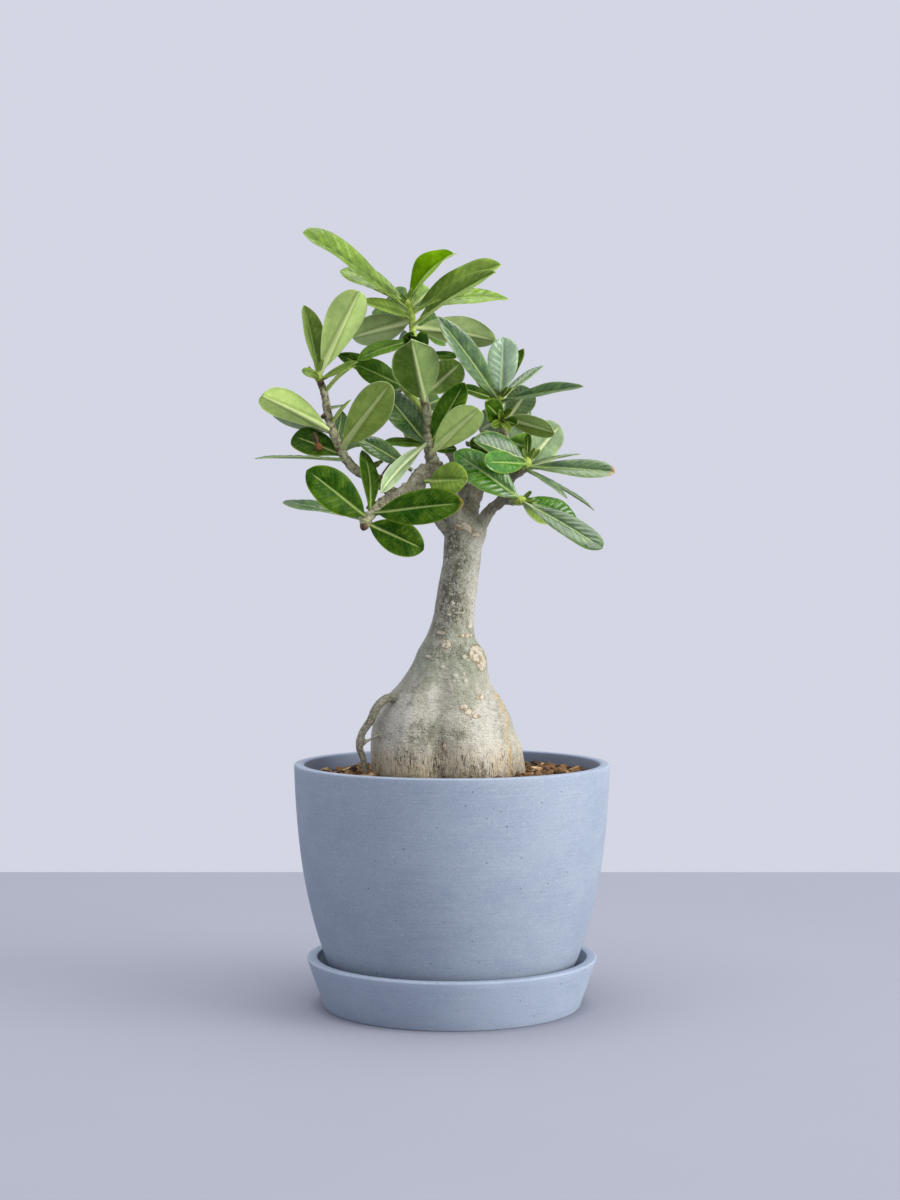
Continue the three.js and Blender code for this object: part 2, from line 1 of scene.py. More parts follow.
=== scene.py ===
# A desert rose in a round pot on its saucer: the fine meshes and materials.
# Lengths are millimetres in the lists and functions, and metres in the meshes, the lights and the camera.
# +Z is up, and the front of the plant faces -Y.
import math
import random

import bmesh
import bpy
import numpy as np
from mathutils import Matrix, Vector, noise


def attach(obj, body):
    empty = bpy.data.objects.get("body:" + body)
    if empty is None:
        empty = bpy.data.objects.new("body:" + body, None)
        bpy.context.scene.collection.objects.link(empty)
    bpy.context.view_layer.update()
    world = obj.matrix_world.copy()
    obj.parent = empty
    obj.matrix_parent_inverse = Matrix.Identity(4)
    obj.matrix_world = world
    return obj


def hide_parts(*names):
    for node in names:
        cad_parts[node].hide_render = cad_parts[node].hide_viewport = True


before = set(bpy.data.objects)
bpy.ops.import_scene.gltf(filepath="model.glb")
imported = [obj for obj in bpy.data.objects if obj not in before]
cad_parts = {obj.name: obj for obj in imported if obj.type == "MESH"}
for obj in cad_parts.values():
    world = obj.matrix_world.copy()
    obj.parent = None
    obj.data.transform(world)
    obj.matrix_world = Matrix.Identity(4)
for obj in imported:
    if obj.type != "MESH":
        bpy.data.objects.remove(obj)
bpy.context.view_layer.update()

MM = 0.001
BODY = "root"
FRONT = np.array([0.0, -1.0, 0.0])

# Camera: as far and as high as the photograph's, looking slightly down
CAMERA_PLACE = (-0.0009, -1.013, 0.2141)
CAMERA_PITCH = 0.0213
CAMERA_LENS = 63.93
CAMERA_SENSOR = 36
CAMERA_REACH = 50

# Stage: the table's corners, the colour behind it and the lights
TABLE_CORNERS = [[-0.75, -0.75], [0.75, -0.75], [0.75, 0.42], [-0.75, 0.42]]
WORLD_COLOUR = (0.655, 0.670, 0.775)
WORLD_STRENGTH = 1.0
# Name, place, target, size, power, colour
LIGHTS = [
    ["key", (2.3, -0.9, 0.62), (0, 0, 0.2), 2.0, 80, (1.0, 0.985, 0.96)],
    ["overhead", (0, -0.15, 2.1), (0, 0, 0.2), 1.9, 42, (1.0, 0.99, 0.98)],
]

# Saucer
SAUCER_HEIGHT = 23.5
SAUCER_TOP_RADIUS = 68.9
SAUCER_BASE_RADIUS = 61.2
SAUCER_WALL = 5
SAUCER_FLOOR = 5
SAUCER_TAPER = 1.2
SAUCER_CORNER = 2
SAUCER_LEAN = 12
SAUCER_STEP = 3

# Pot
POT_BASE = 5.3
POT_TOP = 115
POT_WALL = 4.8
POT_FLOOR = 6
POT_FOOT_RADIUS = 50
POT_FOOT_CORNER = 4
POT_INNER_CORNER = 3
POT_RIM_RADIUS = 75
POT_STEP = 4
DRAIN_RADIUS = 6
# Outer radius and height above the table, from the foot to the rim
POT_OUTLINE = [
    [54.8, 10], [60, 22.8], [64.9, 37.5], [68.7, 53.2], [71.4, 68.5], [73.2, 84], [74.3, 98.7],
]
OUTLINE_STEPS = 6
EDGE_ROUNDING = 0.8
EDGE_STEPS = 4
TURNED_SIDES = 240
AXIS_RADIUS = 0.5
# The composite's two shades, and the painted shade on the inner wall above the soil: a darker, bluer tint
# where that wall lies in shade
COMPOSITE_SHADES = [[0.254, 0.306, 0.382], [0.28, 0.333, 0.406]]
INSIDE_FROM = 71.8
INSIDE_ABOVE = 96
INSIDE_SHADE_TINT = [0.15, 0.2, 0.33]

# Soil
SOIL_LEVEL = 108.5
SOIL_TILT = 0.012
# Where the soil is banked up or lower: x, y, rise, spread
SOIL_BANKS = [[-50, -4, 4, 11.4], [-66, -4, -6, 10]]
SOIL_GAP = 0.3
SOIL_FOOT = 11.6
SOIL_CENTRE = 0.4
SOIL_ROOM = 0.4
SOIL_SIDES = 180
SOIL_RINGS = 40
SOIL_BED_TINT = [0.05, 0.03, 0.018]
# How deep the bed lies under the grains
SOIL_BED_DEPTH = 1.5
GRAIN_COUNT = 1900
GRAIN_DEPTH = 0.5
GRAIN_SEED = 17
# Grain colours. The darkest ones are partly dark crumbs and partly painted shade, standing for the shaded
# gaps between grains
GRAIN_TINTS_AND_GAP_SHADES = [
    (0.23, 0.12, 0.05), (0.4, 0.25, 0.115), (0.11, 0.057, 0.026), (0.56, 0.41, 0.23),
    (0.035, 0.019, 0.011), (0.16, 0.084, 0.035), (0.018, 0.01, 0.007), (0.07, 0.037, 0.018),
]
GRAIN_SIZES = [0.7, 1, 1.3, 1.8, 2.4, 3.2, 4]
# How far each grain is stretched along its three axes, and the half sizes of those that are sticks
GRAIN_STRETCHES = [(0.8, 1.6), (0.5, 1), (0.4, 0.8)]
STICK_SHARE = 0.2
STICK_SIZES = [(2.6, 5.2), (0.45, 0.9), (0.35, 0.7)]

# The swollen base and the trunk: height, middle in x, half width, half depth
CAUDEX = [
    [82, -2, 13, 12], [86, -2, 22, 21], [95, -1.9, 32.4, 30], [112, -1.9, 37.2, 34.6],
    [124, -2.6, 36.2, 33.4], [130, -4.2, 34.4, 32], [136, -4.5, 33, 30.5], [141, -4.5, 30.3, 28],
    [147, -4, 26.6, 25], [152.5, -3.3, 22, 21], [158, -2.1, 19.4, 18.5], [164, -0.7, 17.4, 16.5],
    [168, -0.4, 16, 15], [174, -1, 12, 11.8], [178, -0.2, 10.9, 10.8], [184, 1, 10, 10],
    [201, 3.1, 8.9, 9], [212, 4.8, 9, 9], [218, 5.3, 9.1, 9], [223, 6.4, 10, 9.2],
    [227, 7.2, 9.6, 8.6], [231, 7.6, 7.6, 6.8], [233, 7.8, 4.6, 4.2],
]
CAUDEX_SIDES = 120
CAUDEX_STEP = 1
CAUDEX_BLUR = 3
# Grooves between the lobes of the base: direction from +X and half width in degrees, depth as a share
GROOVES = [
    [-97, 16, 0.15], [-40, 13, 0.09], [-150, 20, 0.05], [28, 20, 0.07], [88, 24, 0.1], [150, 18, 0.07],
]
GROOVES_FROM = 96
GROOVES_TO = 176
GROOVE_RISE = 12
GROOVE_FALL = 30
# A root that leaves the base in the air and goes down into the soil, and a thin rootlet between it and
# the base: x, y, z, radius
AIR_ROOT = [
    [-24, -10, 146, 2.6], [-29, -12.5, 147, 2.4], [-33, -13.5, 145, 2.2], [-35.8, -14, 141.5, 2.1],
    [-38.3, -14, 136, 2], [-42, -14, 130.5, 2], [-43.5, -14, 124.5, 2], [-41.5, -13, 117, 1.9],
    [-40.5, -12, 104, 1.5],
]
ROOTLET = [
    [-34, -14, 129.4, 1], [-37.5, -14.5, 128, 0.9], [-40, -14.5, 126.4, 0.9], [-43, -14.5, 124, 1],
]
WOOD_SIDES = 16
LIMB_SIDES = 12
WOOD_STEP = 0.8
DOME_ANGLES = (math.pi / 2.02, 1.2, 0.7)
TRUNK_VOXEL = 0.654
TRUNK_SMOOTHING = 7
# Each round of smoothing shrinks the skin by the first share and swells it by the second
SMOOTHING_SHARES = (0.55, -0.57)
LIMBS_FROM = 231

# Bark marks on the front: x, z, half width, half height. Lenticels are small round swellings
SCARS = [
    [11.2, 167.6, 3, 3.4], [13.8, 163.2, 2.3, 3.4], [-2.8, 172, 2.2, 1.9], [5.6, 143.4, 1.9, 1.3],
    [8.4, 141.2, 2.3, 1.2], [11.3, 139.2, 1.9, 0.9], [13.2, 147.4, 2, 0.9], [6.6, 175.8, 3.6, 0.8],
    [-5, 177.4, 2.6, 0.8], [3, 226.8, 2.3, 1.5], [6, 227.6, 2.2, 1.7], [8.6, 226, 1.9, 1.5],
    [11.6, 223.6, 1.8, 1], [-3.5, 125, 0.8, 1.8],
]
LENTICELS = [
    [-11.2, 166.1, 1, 0.9], [-4.6, 161.5, 1, 0.8], [5.7, 166.1, 1.1, 1], [1.4, 157.4, 1.2, 1.1],
    [6.1, 155.1, 0.9, 0.9], [5.4, 158, 0.8, 0.7], [0.2, 191.4, 0.7, 1], [3.1, 186.6, 2.4, 0.5],
    [-1.4, 185.8, 1.2, 0.5], [8.4, 180, 1, 1.2], [9.4, 202, 3.2, 0.3], [8.7, 193, 2.6, 0.3],
]
# Dark marks: dark mottles of the bark. The tall one at x -6, down the front groove of the base, is partly
# painted shade in that groove
DARK_MARKS_AND_GROOVE_SHADE = [
    [-18.5, 144.5, 2.2, 0.9], [-2.3, 131, 4.4, 3.2], [-14, 131, 6, 6.5], [3.8, 130.5, 3.6, 2.4],
    [1.2, 214.5, 5, 12], [-0.8, 192, 5.4, 13], [-6, 178, 3.4, 5], [-5, 168, 6, 4.5], [5, 169, 3, 5],
    [-6, 119, 3.4, 14], [-22, 121, 4, 6], [12, 114, 4, 5],
]
# Pale marks: partly pale bark and partly painted highlight, where the light falls on the neck and on the
# lobes of the base
PALE_AND_LIT_MARKS = [
    [10.4, 199, 2.8, 12], [10.6, 187, 2.6, 8], [11.5, 217, 3.4, 5], [16, 133, 7, 15], [-22, 140, 6, 9],
    [-8.5, 146, 2.4, 9], [20.5, 118, 6, 10], [-26, 122, 6, 14],
]
STRIPES = [[21.3, 149.5, 1.1, 3.6], [23.8, 143, 1.2, 4], [26, 133, 0.8, 7], [27.2, 118, 0.7, 9]]
# Scars on the back: how many, their heights above the table, half widths and how tall they are for it
BACK_SCARS = 16
BACK_SCAR_HEIGHTS = (120, 222)
BACK_SCAR_SIZES = (0.9, 2.6)
BACK_SCAR_STRETCH = (0.6, 1.2)
BACK_SEED = 23

# Woody limbs with no leaves of their own: x, y, z, radius
BARE_LIMBS = [
    [[-0.5, 0, 224, 3.4], [-4.5, -2, 228.5, 3], [-7, -3.5, 231, 2.2]],
    [[15.5, 9, 261.5, 1.8], [11, 5, 265, 1.3], [7, 2, 267.5, 1]],
]

# Each branch runs from the trunk to its tip: x, y, z, radius.
# wood counts the points that are old wood and one piece with the trunk. The rest is the young stem that
# carries the leaves. A leaf is: place along the branch (counted in its points), tip x, y, z, width, turn,
# bend, fold. turn is 0 where the upper face looks to the front and 180 where the underside does, bend is
# how far the blade arches along its length, and fold how far its halves are raised, all in degrees.
# looks gives each leaf's look and form in the same order. halves lists leaves with painted light on one
# half and painted shade on the other, the paler half on the side that the sign points to, and withered
# those with a brown tip, both from 0 to 1.
BRANCHES = [
    {
        "name": "shoot_centre", "slot": "leaf_dark", "wood": 4,
        "path": [
            [5, -2, 226, 5], [-1, -6, 240, 4.8], [-5.5, -10, 250, 4.5], [-9.8, -12.6, 260, 3],
            [-10.5, -12, 268, 2.6], [-11, -11, 277.5, 2.4], [-12.5, -10, 284.5, 2.2],
            [-14, -8, 291.5, 2], [-14.6, -7.5, 295.5, 1.9], [-16.5, -4, 307.5, 1.8],
            [-18.3, -2.1, 317.2, 1.7],
        ],
        "leaves": [
            [9.75, -44, -14, 305, 13, 50, 25, 25], [9.7, -11, -26, 311, 12, 0, 30, 40],
            [9, 2, -6, 307, 11, -60, 20, 20], [9.5, -26, 44, 315, 19, 0, 20, 20],
            [6, -18.5, -42, 312, 26, 186, 20, 50], [6.6, 4, 2, 305, 16, 180, 15, 15],
            [3.5, -32, -2, 291, 17, 10, 15, 45], [3.65, -33, -6, 267, 8, 50, 15, 20],
            [3.55, 6, -18, 294, 14, -20, 15, 20], [3.15, 12, -45, 280, 18, -165, 15, 50],
            [3.9, -32, -52, 242, 9, 150, 30, 20], [3.4, 2, -8, 264, 6, -30, 10, 10],
            [4.5, -3, 35, 278, 19, 0, 20, 20],
        ],
        "looks": """green-long dark-round dark-round green-round dark-kite dark-round
            gloss-oval green-long dark-oval pale-oval grey-long dark-round green-round""",
        "halves": {4: -0.4},
    },
    {
        "name": "shoot_top", "slot": "leaf_young", "wood": 0,
        "path": [
            [-18.35, -2, 317.5, 1.7], [-18.6, -1.6, 321, 1.65], [-19, -1, 327, 1.6],
            [-20.5, 0, 333.5, 1.3],
        ],
        "leaves": [
            [2.25, -69.5, -12, 365, 23, 56, 8, 50], [2.8, -52.5, 20, 352, 16, 40, 15, 30],
            [1.6, -43, -12, 332, 12, 60, 20, 60], [1.6, -47, -2, 317, 17, 165, 25, 45],
            [2.85, 1, 4, 357, 23, -45, 60, 60], [1.2, 20, -28, 344, 17, -48, 15, 60],
            [2.1, 23, -10, 350, 20, -45, 20, 50], [2.4, 27, 20, 337.6, 13, -50, 30, 30],
            [1.1, 21, 4, 316, 17, -150, 25, 45], [2.5, -10, 50, 345, 20, 0, 20, 20],
            [2, -33, 48, 340, 22, 0, 20, 20], [1, -6, 46, 325, 20, 0, 20, 20],
        ],
        "looks": """young-round young-round olive-long faint-oval fresh-round olive-oval
            olive-oval young-oval faint-oval young-round green-round green-round""",
        "halves": {0: 0.12, 3: 0.6, 4: 0.4, 5: 0.35, 6: 0.25, 7: 0.25},
    },
    {
        "name": "shoot_left_low", "slot": "leaf_dark", "wood": 7,
        "path": [
            [-6, -10, 249, 4.4], [-10.5, -15.5, 253, 4.2], [-14.5, -22, 250.6, 4.2],
            [-18, -28, 245, 4.2], [-25, -33, 241, 3.4], [-29, -36, 239, 2.8], [-31.5, -37, 237.5, 2.6],
            [-34.5, -39, 234.5, 2.4], [-38.5, -41, 230.5, 2.3], [-39.5, -42, 228, 1.9],
        ],
        "leaves": [
            [8, -65, -56, 252, 19, 15, 15, 15], [8.3, -78, -26, 238.5, 11, 60, 10, 20],
            [7.8, -42, -12, 263, 10, 35, 40, 20], [7.5, 5, -60, 237, 18, -20, 15, 15],
            [8.8, -13, -38, 216.5, 17, -10, 15, 20], [8.2, -54, 10, 235, 16, 90, 15, 20],
        ],
        "looks": "dark-oval grey-round dark-long dark-oval dark-oval green-round",
        "withered": {3: 0.5},
    },
    {
        "name": "shoot_left", "slot": "leaf_green", "wood": 2,
        "path": [
            [-24, -31, 241, 2.8], [-28.5, -27, 243.5, 2.6], [-34.3, -22, 247.6, 2.5],
            [-40.5, -18, 251.3, 2.4], [-45.4, -15.5, 254, 2.3], [-48.6, -14, 257.5, 2.3],
            [-51.2, -13, 261.5, 2.2], [-54.5, -12, 268, 2.1], [-56.5, -11.5, 274, 2.1],
            [-58, -11, 279, 2], [-59, -10.5, 284.6, 1.9], [-60, -10, 290.1, 1.8],
            [-62, -9.5, 295.6, 1.7], [-63, -9, 298.6, 1.3],
        ],
        "leaves": [
            [12.9, -70, -2, 332, 15, 35, 10, 70], [12.5, -43, -22, 336, 20, 200, 15, 55],
            [12.3, -70, -16, 300, 5, 30, 60, 10], [12.1, -44, -16, 304, 8, -60, 10, 20],
            [10.9, -45, -18, 302, 10, -85, 30, 20], [7.6, -87, -34, 287, 18, 160, 15, 50],
            [7.4, -86, 2, 282, 14, 130, 15, 20], [6.9, -52, -2, 282, 8, 30, 10, 20],
            [8.3, -47, -20, 286, 7, -80, 10, 20], [9.6, -50.5, 0, 285, 4.5, -70, 10, 20],
            [5.6, -75, -4, 270, 16, 30, 15, 20], [5.2, -90, -38, 258, 12, 88, 10, 10],
            [6.3, -28, -50, 291, 21, 180, -10, 50], [7.7, -75, 32, 274, 14, 40, 15, 20],
            [6, -49, 30, 270, 16, 0, 15, 20],
        ],
        "looks": """olive-long pale-round young-round olive-long young-long pale-round
            grey-round gloss-oval young-long grey-long dark-round grey-long olive-oval
            green-round green-round""",
        "halves": {0: -0.35, 1: -0.35},
    },
    {
        "name": "shoot_back_left", "slot": "leaf_dark", "wood": 4,
        "path": [
            [8.5, 3, 232, 4.2], [5, 14, 248, 3.8], [1, 22, 260, 3], [-2.5, 25, 266.5, 2.4],
            [-9.5, 25, 277, 2.1], [-17.5, 22, 288, 1.9], [-23, 18, 295.5, 1.5],
        ],
        "leaves": [
            [5.9, -55, 10, 310, 12, 40, 15, 20], [5.85, -47, 2, 305, 14, 20, 15, 20],
            [6, -42, 16, 306, 8, 40, 15, 20], [5.9, -12, 46, 304, 20, 0, 15, 20],
            [5.9, -34, 60, 294, 20, 0, 15, 20], [5, -29, 62, 279, 20, 180, 15, 20],
            [4.7, -6, 60, 292, 20, 0, 15, 20], [4.2, -23, 58, 272, 20, 180, 15, 20],
        ],
        "looks": """dark-long green-long dark-long green-round green-round green-round
            green-round green-round""",
    },
    {
        "name": "shoot_right_upper", "slot": "leaf_grey", "wood": 6,
        "path": [
            [6.2, 0, 224, 5.2], [9.9, 3, 240, 4.3], [13.5, 8, 250, 4.4], [17.5, 11, 259.5, 3.8],
            [22, 12, 268, 3], [24.5, 10.5, 273, 2.3], [23.5, 7, 280, 1.9], [22.5, 3, 285.5, 1.8],
            [23, 1, 288.5, 1.4],
        ],
        "leaves": [
            [7.2, -7, -36, 323, 14, 25, 15, 40], [6.8, 10, -2, 299, 8, 60, 10, 20],
            [7.6, 24, -10, 316, 17, 20, 15, 20], [7.8, 44, 16, 305, 8, -55, 15, 20],
            [7.4, 60, -36, 291, 10, -55, 5, 50], [5.5, 37, 2, 293, 15, 180, 15, 15],
            [5.7, 15.5, -16, 285, 12, 15, 15, 20], [5.9, 48, -14, 271, 11, -150, 15, 20],
        ],
        "looks": """grey-long dark-oval sheen-round grey-long grey-long dusky-round dark-oval
            olive-oval""",
        "halves": {7: 0.5},
    },
    {
        "name": "shoot_back_right", "slot": "leaf_grey", "wood": 3,
        "path": [
            [15.5, 10, 255, 3.6], [20, 19, 261.5, 2.9], [23.5, 26, 267, 2.3], [24.5, 30, 275, 2],
            [23.5, 30, 284, 1.8], [21.5, 28, 290.5, 1.5],
        ],
        "leaves": [
            [4.8, 3, 22, 295, 10, 50, 15, 20], [4.95, 35, 24, 314, 10, -40, 15, 20],
            [4.6, 29, 68, 295, 18, 0, 15, 20], [4, 40, 66, 285, 18, 0, 15, 20],
            [3.6, 14, 66, 277, 18, 180, 15, 20], [3.1, 32, 64, 267, 18, 180, 15, 20],
            [2.4, 44, 50, 266, 16, 0, 15, 20], [2.4, 9, 52, 256, 16, 180, 15, 20],
        ],
        "looks": """dark-long dark-long dusky-round dusky-round dusky-round dusky-round
            green-round green-round""",
        "withered": {1: 0.5},
    },
    {
        "name": "shoot_right_mid", "slot": "leaf_grey", "wood": 4,
        "path": [
            [14, 8, 251, 3], [23, 2, 249, 2.6], [29.5, -4, 251.5, 2.4], [32.5, -6, 253.5, 2.1],
            [35, -7, 255.5, 1.9], [35.5, -7.5, 258.5, 1.4],
        ],
        "leaves": [
            [4, 52, 16, 276, 18, -160, 15, 20], [4, 61, 6, 262, 10, -85, 15, 20],
            [3.8, 75, -28, 252, 12, -35, 15, 30], [3.6, 67, -8, 235, 12, -85, 15, 20],
            [3.6, 53, -32, 240, 6, -60, 15, 20], [4.3, 15, -42, 256, 12, 20, 15, 20],
            [4.8, 10, -22, 267, 18, 35, 15, 50], [4.9, 36, -4, 271, 4, 0, 10, 10],
            [4.2, 50, 40, 270, 15, 180, 15, 20],
        ],
        "looks": """dusky-round grey-long grey-round grey-long grey-long vivid-round gloss-oval
            dark-round dusky-round""",
        "halves": {2: 0.35},
        "withered": {2: 0.9},
    },
    {
        "name": "shoot_right_low", "slot": "leaf_green", "wood": 4,
        "path": [
            [12, -1, 225.5, 3.6], [17.8, -8.5, 234.8, 2.9], [23.8, -16, 239.2, 2.6],
            [28, -20.5, 239.4, 2.3], [31, -23, 239, 2], [33, -24, 239.5, 1.5],
        ],
        "leaves": [
            [4.1, 58, -18, 231, 14, -40, 15, 20], [4.2, 68, -48, 217, 13, -30, 15, 20],
            [4.6, 1, -30, 261, 18, 20, 15, 20], [4.3, 52, 20, 232, 13, 180, 15, 20],
        ],
        "looks": "vivid-oval grey-round vivid-oval green-round",
    },
]

# Leaves that sit singly on the old wood: name, slot, look and form, where the stalk starts, then as above
SINGLE_LEAVES = [
    ["leaf_low_centre", "leaf_green", "olive-oval", [-12.2, -27.9, 247.8], [7, -42, 248, 18, -20, 15, 20]],
    ["leaf_left_centre", "leaf_dark", "gloss-long", [-18.5, -20.6, 253.2],
     [-44.5, -17, 269, 11, 30, 15, 20]],
]

# How each leaf looks: colour of the upper face and of the underside, roughness and shine of the upper face,
# how much its side veins show, and how high it swells between them in mm, which also sets how strong the
# painted highlights on those swellings are
LEAF_LOOKS = {
    "dark": [(0.01, 0.052, 0.001), (0.09, 0.175, 0.012), 0.42, 0.05, 0.2, 0.3],
    "gloss": [(0.024, 0.082, 0.016), (0.13, 0.24, 0.06), 0.27, 0.55, 0.15, 0.35],
    "green": [(0.042, 0.13, 0.002), (0.18, 0.29, 0.02), 0.42, 0.1, 0.22, 0.4],
    "olive": [(0.15, 0.24, 0.03), (0.25, 0.37, 0.05), 0.45, 0.15, 0.2, 0.5],
    "vivid": [(0.024, 0.14, 0.002), (0.17, 0.33, 0.035), 0.2, 0.6, 0.45, 0.55],
    "young": [(0.112, 0.205, 0.008), (0.28, 0.42, 0.06), 0.32, 0.32, 0.55, 1],
    "fresh": [(0.12, 0.27, 0.001), (0.24, 0.4, 0.01), 0.55, 0, 0.15, 0.12],
    # The pale look's underside colour is partly the paler underside and partly painted light, for light
    # shining through the blade
    "pale": [(0.3, 0.42, 0.17), (0.62, 0.83, 0.23), 0.5, 0.2, 0.15, 0.15],
    "faint": [(0.3, 0.42, 0.17), (0.36, 0.47, 0.19), 0.5, 0.2, 0.15, 0.15],
    "grey": [(0.068, 0.14, 0.064), (0.25, 0.34, 0.2), 0.3, 0.55, 0.3, 0.45],
    "dusky": [(0.074, 0.15, 0.068), (0.16, 0.235, 0.13), 0.3, 0.55, 0.3, 0.45],
    # The sheen look is a grey-green leaf with its glossy sheen painted into both colours: painted reflection
    "sheen": [(0.33, 0.47, 0.33), (0.36, 0.47, 0.28), 0.24, 0.55, 0.2, 0.4],
}
LOOK_NAMES = list(LEAF_LOOKS)
STEM_SLOT = 2 * len(LOOK_NAMES)
# Outline of a blade: how slowly it widens from the stalk, and how soon it narrows to the tip
LEAF_FORMS = {"round": [0.95, 0.47], "oval": [0.8, 0.62], "long": [0.9, 0.78], "kite": [0.78, 1]}

# Leaves
PETIOLE_RADIUS = 0.95
PETIOLE_SHARE = 0.1
PETIOLE_SINK = 1.2
PETIOLE_SINK_SHARE = 0.6
BLADE_HALF_THICKNESS = 0.26
OUTLINE_FULLNESS = 0.95
WAVE_HEIGHT = 0.045
WAVE_LENGTH = 0.7
WAVE_SHIFT = 0.27
RIPPLE_HEIGHT = 0.012
RIPPLES = 2.3
RIPPLE_SHIFT = 0.61
# Where the round stalk goes over into the flat blade, as shares of the leaf's length
STALK_TO_BLADE = (0.05, 0.3)
TIP_HALF_WIDTH = 0.05
ROW_BUNCHING = 1.35
LEAF_ROWS = 54
SMALL_LEAF_ROWS = 14
# Places of a blade's vertices from the midrib to the margin, as shares of its half width
LEAF_ACROSS = [0, 0.045, 0.09, 0.15, 0.24, 0.36, 0.5, 0.64, 0.77, 0.88, 0.955, 1]
SMALL_LEAF_ACROSS = [0, 0.2, 0.6, 1]
HALF_DIFFERENCE = 0.3
MARGIN_ROLL = 0.035
MARGIN_WIDTH = 0.42
VEIN_PAIRS = 9
VEIN_LEAN = 1.9
MIDRIB_HALF_WIDTH = 1.05
MIDRIB_RISE = 0.95
MIDRIB_GROOVE = 0.32
# Painted shade in the hollows on each side of the midrib: how far from it and how wide, in widths of the
# midrib
HOLLOW_SHADE_PLACE = 1.9
HOLLOW_SHADE_WIDTH = 0.8
LEAF_SEED = 5

# Young stems. The end of the first one carries the stem of shoot_top
STEMS_THAT_GO_ON = ["shoot_centre"]
BARE_TIPS = ["shoot_left_low"]
STEM_SIDES = 20
STEM_STEP = 0.4
STEM_ROUGHNESS = 0.12
STEM_GREEN = 2.6
BARE_TIP_GREEN = 0.3
STEM_OVERLAP = 1.4
STEM_SCAR_DEPTH = 0.07
APEX_SWELLING = 0.45
# Tiny leaves round the growing point: length, width, lean in degrees
APEX_LEAVES = [[7, 2.6, 24], [6, 2.4, -30], [5, 2.2, 12], [8, 2.8, 38]]

# Small leaves on the old wood: base, tip, width, turn, bend, fold, look and form
SMALL_LEAVES = [
    [[-32.7, -14, 257.9], [-37.5, -16, 254.6], 3.2, 20, 20, 20, "olive-long"],
    [[-26.4, -25, 248.6], [-38.8, -22, 245.3], 3.6, 10, 20, 30, "olive-long"],
    [[-32.2, -30, 239.3], [-39.6, -27, 235.4], 3.4, -20, 20, 20, "young-long"],
    [[-29.6, -27, 246], [-35.5, -24, 251.5], 3, 30, 20, 20, "young-long"],
    [[23.4, 4, 278.7], [15.8, -8, 286.4], 5, 20, 30, 40, "young-long"],
    [[23.4, 4, 278.7], [28.8, -6, 282.4], 4.2, -30, 30, 40, "young-long"],
    [[23, 4, 277], [18.6, -10, 274.2], 4.6, 0, 40, 30, "young-round"],
    [[23.4, 4, 277], [27.3, -12, 271.6], 4.4, -20, 40, 30, "olive-long"],
    [[23, 4, 279], [22.2, -12, 282.2], 3.6, 10, 40, 50, "young-long"],
    [[23.6, 4, 278], [30.5, -8, 275], 7.5, -30, 20, 20, "dark-oval"],
    [[-18.6, -3, 314], [-22.5, -15, 316.5], 8.5, 0, 40, 30, "dark-round"],
    [[-18, -3, 313], [-15.5, -15, 315], 8, 0, 40, 30, "dark-round"],
    [[20, 8, 262], [8, -14, 266], 12, 20, 20, 30, "dark-oval"],
    [[20, 8, 262], [14, -16, 272], 9, 10, 20, 30, "dark-oval"],
    [[21, 8, 264], [26, -12, 268.5], 7, -20, 20, 30, "green-oval"],
]
# Dried buds and a fruit left on the stems: middle, half width, half height, lean in degrees, tint
BUDS = [
    [[-63.8, -13, 268.4], 1.3, 3, 12, "brown"], [[-62.4, -13.6, 264.6], 1.6, 1.9, 25, "russet"],
    [[-61.6, -11.2, 294.4], 1.6, 1.5, 40, "brown"], [[-60.2, -12.4, 278.8], 1.3, 1.2, 0, "brown"],
    [[-28.6, -21.5, 251], 1.6, 2, 20, "olive"], [[-39.9, -42.6, 227.2], 2.3, 1.9, 60, "brown"],
]
BUD_TINTS = {"brown": (0.06, 0.032, 0.018), "russet": (0.21, 0.065, 0.02), "olive": (0.23, 0.25, 0.06)}
# A thin dry stalk: x, y, z, radius
DRY_STALK = [[-33.6, -29, 248.6, 0.5], [-31.6, -24, 252.4, 0.45], [-29, -17, 256.4, 0.4]]
BUD_SEED = 31


def unit(vector):
    return vector / np.maximum(np.linalg.norm(vector, axis=-1, keepdims=True), 1e-9)


def smoothstep(low, high, value):
    share = np.clip((value - low) / (high - low), 0, 1)
    return share * share * (3 - 2 * share)


def noise_at(points, size, offset=0.0):
    """Smooth noise from -1 to 1 at each point, with lumps of about the given size in mm."""
    return np.array([noise.noise(Vector(point)) for point in points / size + offset])


def full_turn(sides):
    return np.linspace(0, 2 * math.pi, sides, endpoint=False)


def tipped(points, first, second, angle):
    """Points turned in the plane of two axes."""
    moved = points.copy()
    moved[:, first] = points[:, first] * math.cos(angle) - points[:, second] * math.sin(angle)
    moved[:, second] = points[:, first] * math.sin(angle) + points[:, second] * math.cos(angle)
    return moved


def curve_at(path, places):
    """Points and directions of a centripetal Catmull-Rom curve. Places are counted in the path's points."""
    points = np.array(path, float)[:, :3]
    ends = [2 * points[0] - points[1], *points, 2 * points[-1] - points[-2]]
    found, directions = [], []
    for place in np.atleast_1d(places):
        low = int(min(max(math.floor(place), 0), len(points) - 2))
        before, start, end, after = ends[low:low + 4]
        pairs = ((before, start), (start, end), (end, after))
        step_in, step, step_out = [np.linalg.norm(b - a) ** 0.5 for a, b in pairs]
        leave = ((start - before) / step_in - (end - before) / (step_in + step)) * step + (end - start)
        reach = ((after - end) / step_out - (after - start) / (step + step_out)) * step + (end - start)
        square = 3 * (end - start) - 2 * leave - reach
        cube = 2 * (start - end) + leave + reach
        share = place - low
        found.append(start + leave * share + square * share ** 2 + cube * share ** 3)
        directions.append(leave + 2 * square * share + 3 * cube * share ** 2)
    return np.array(found), unit(np.array(directions))


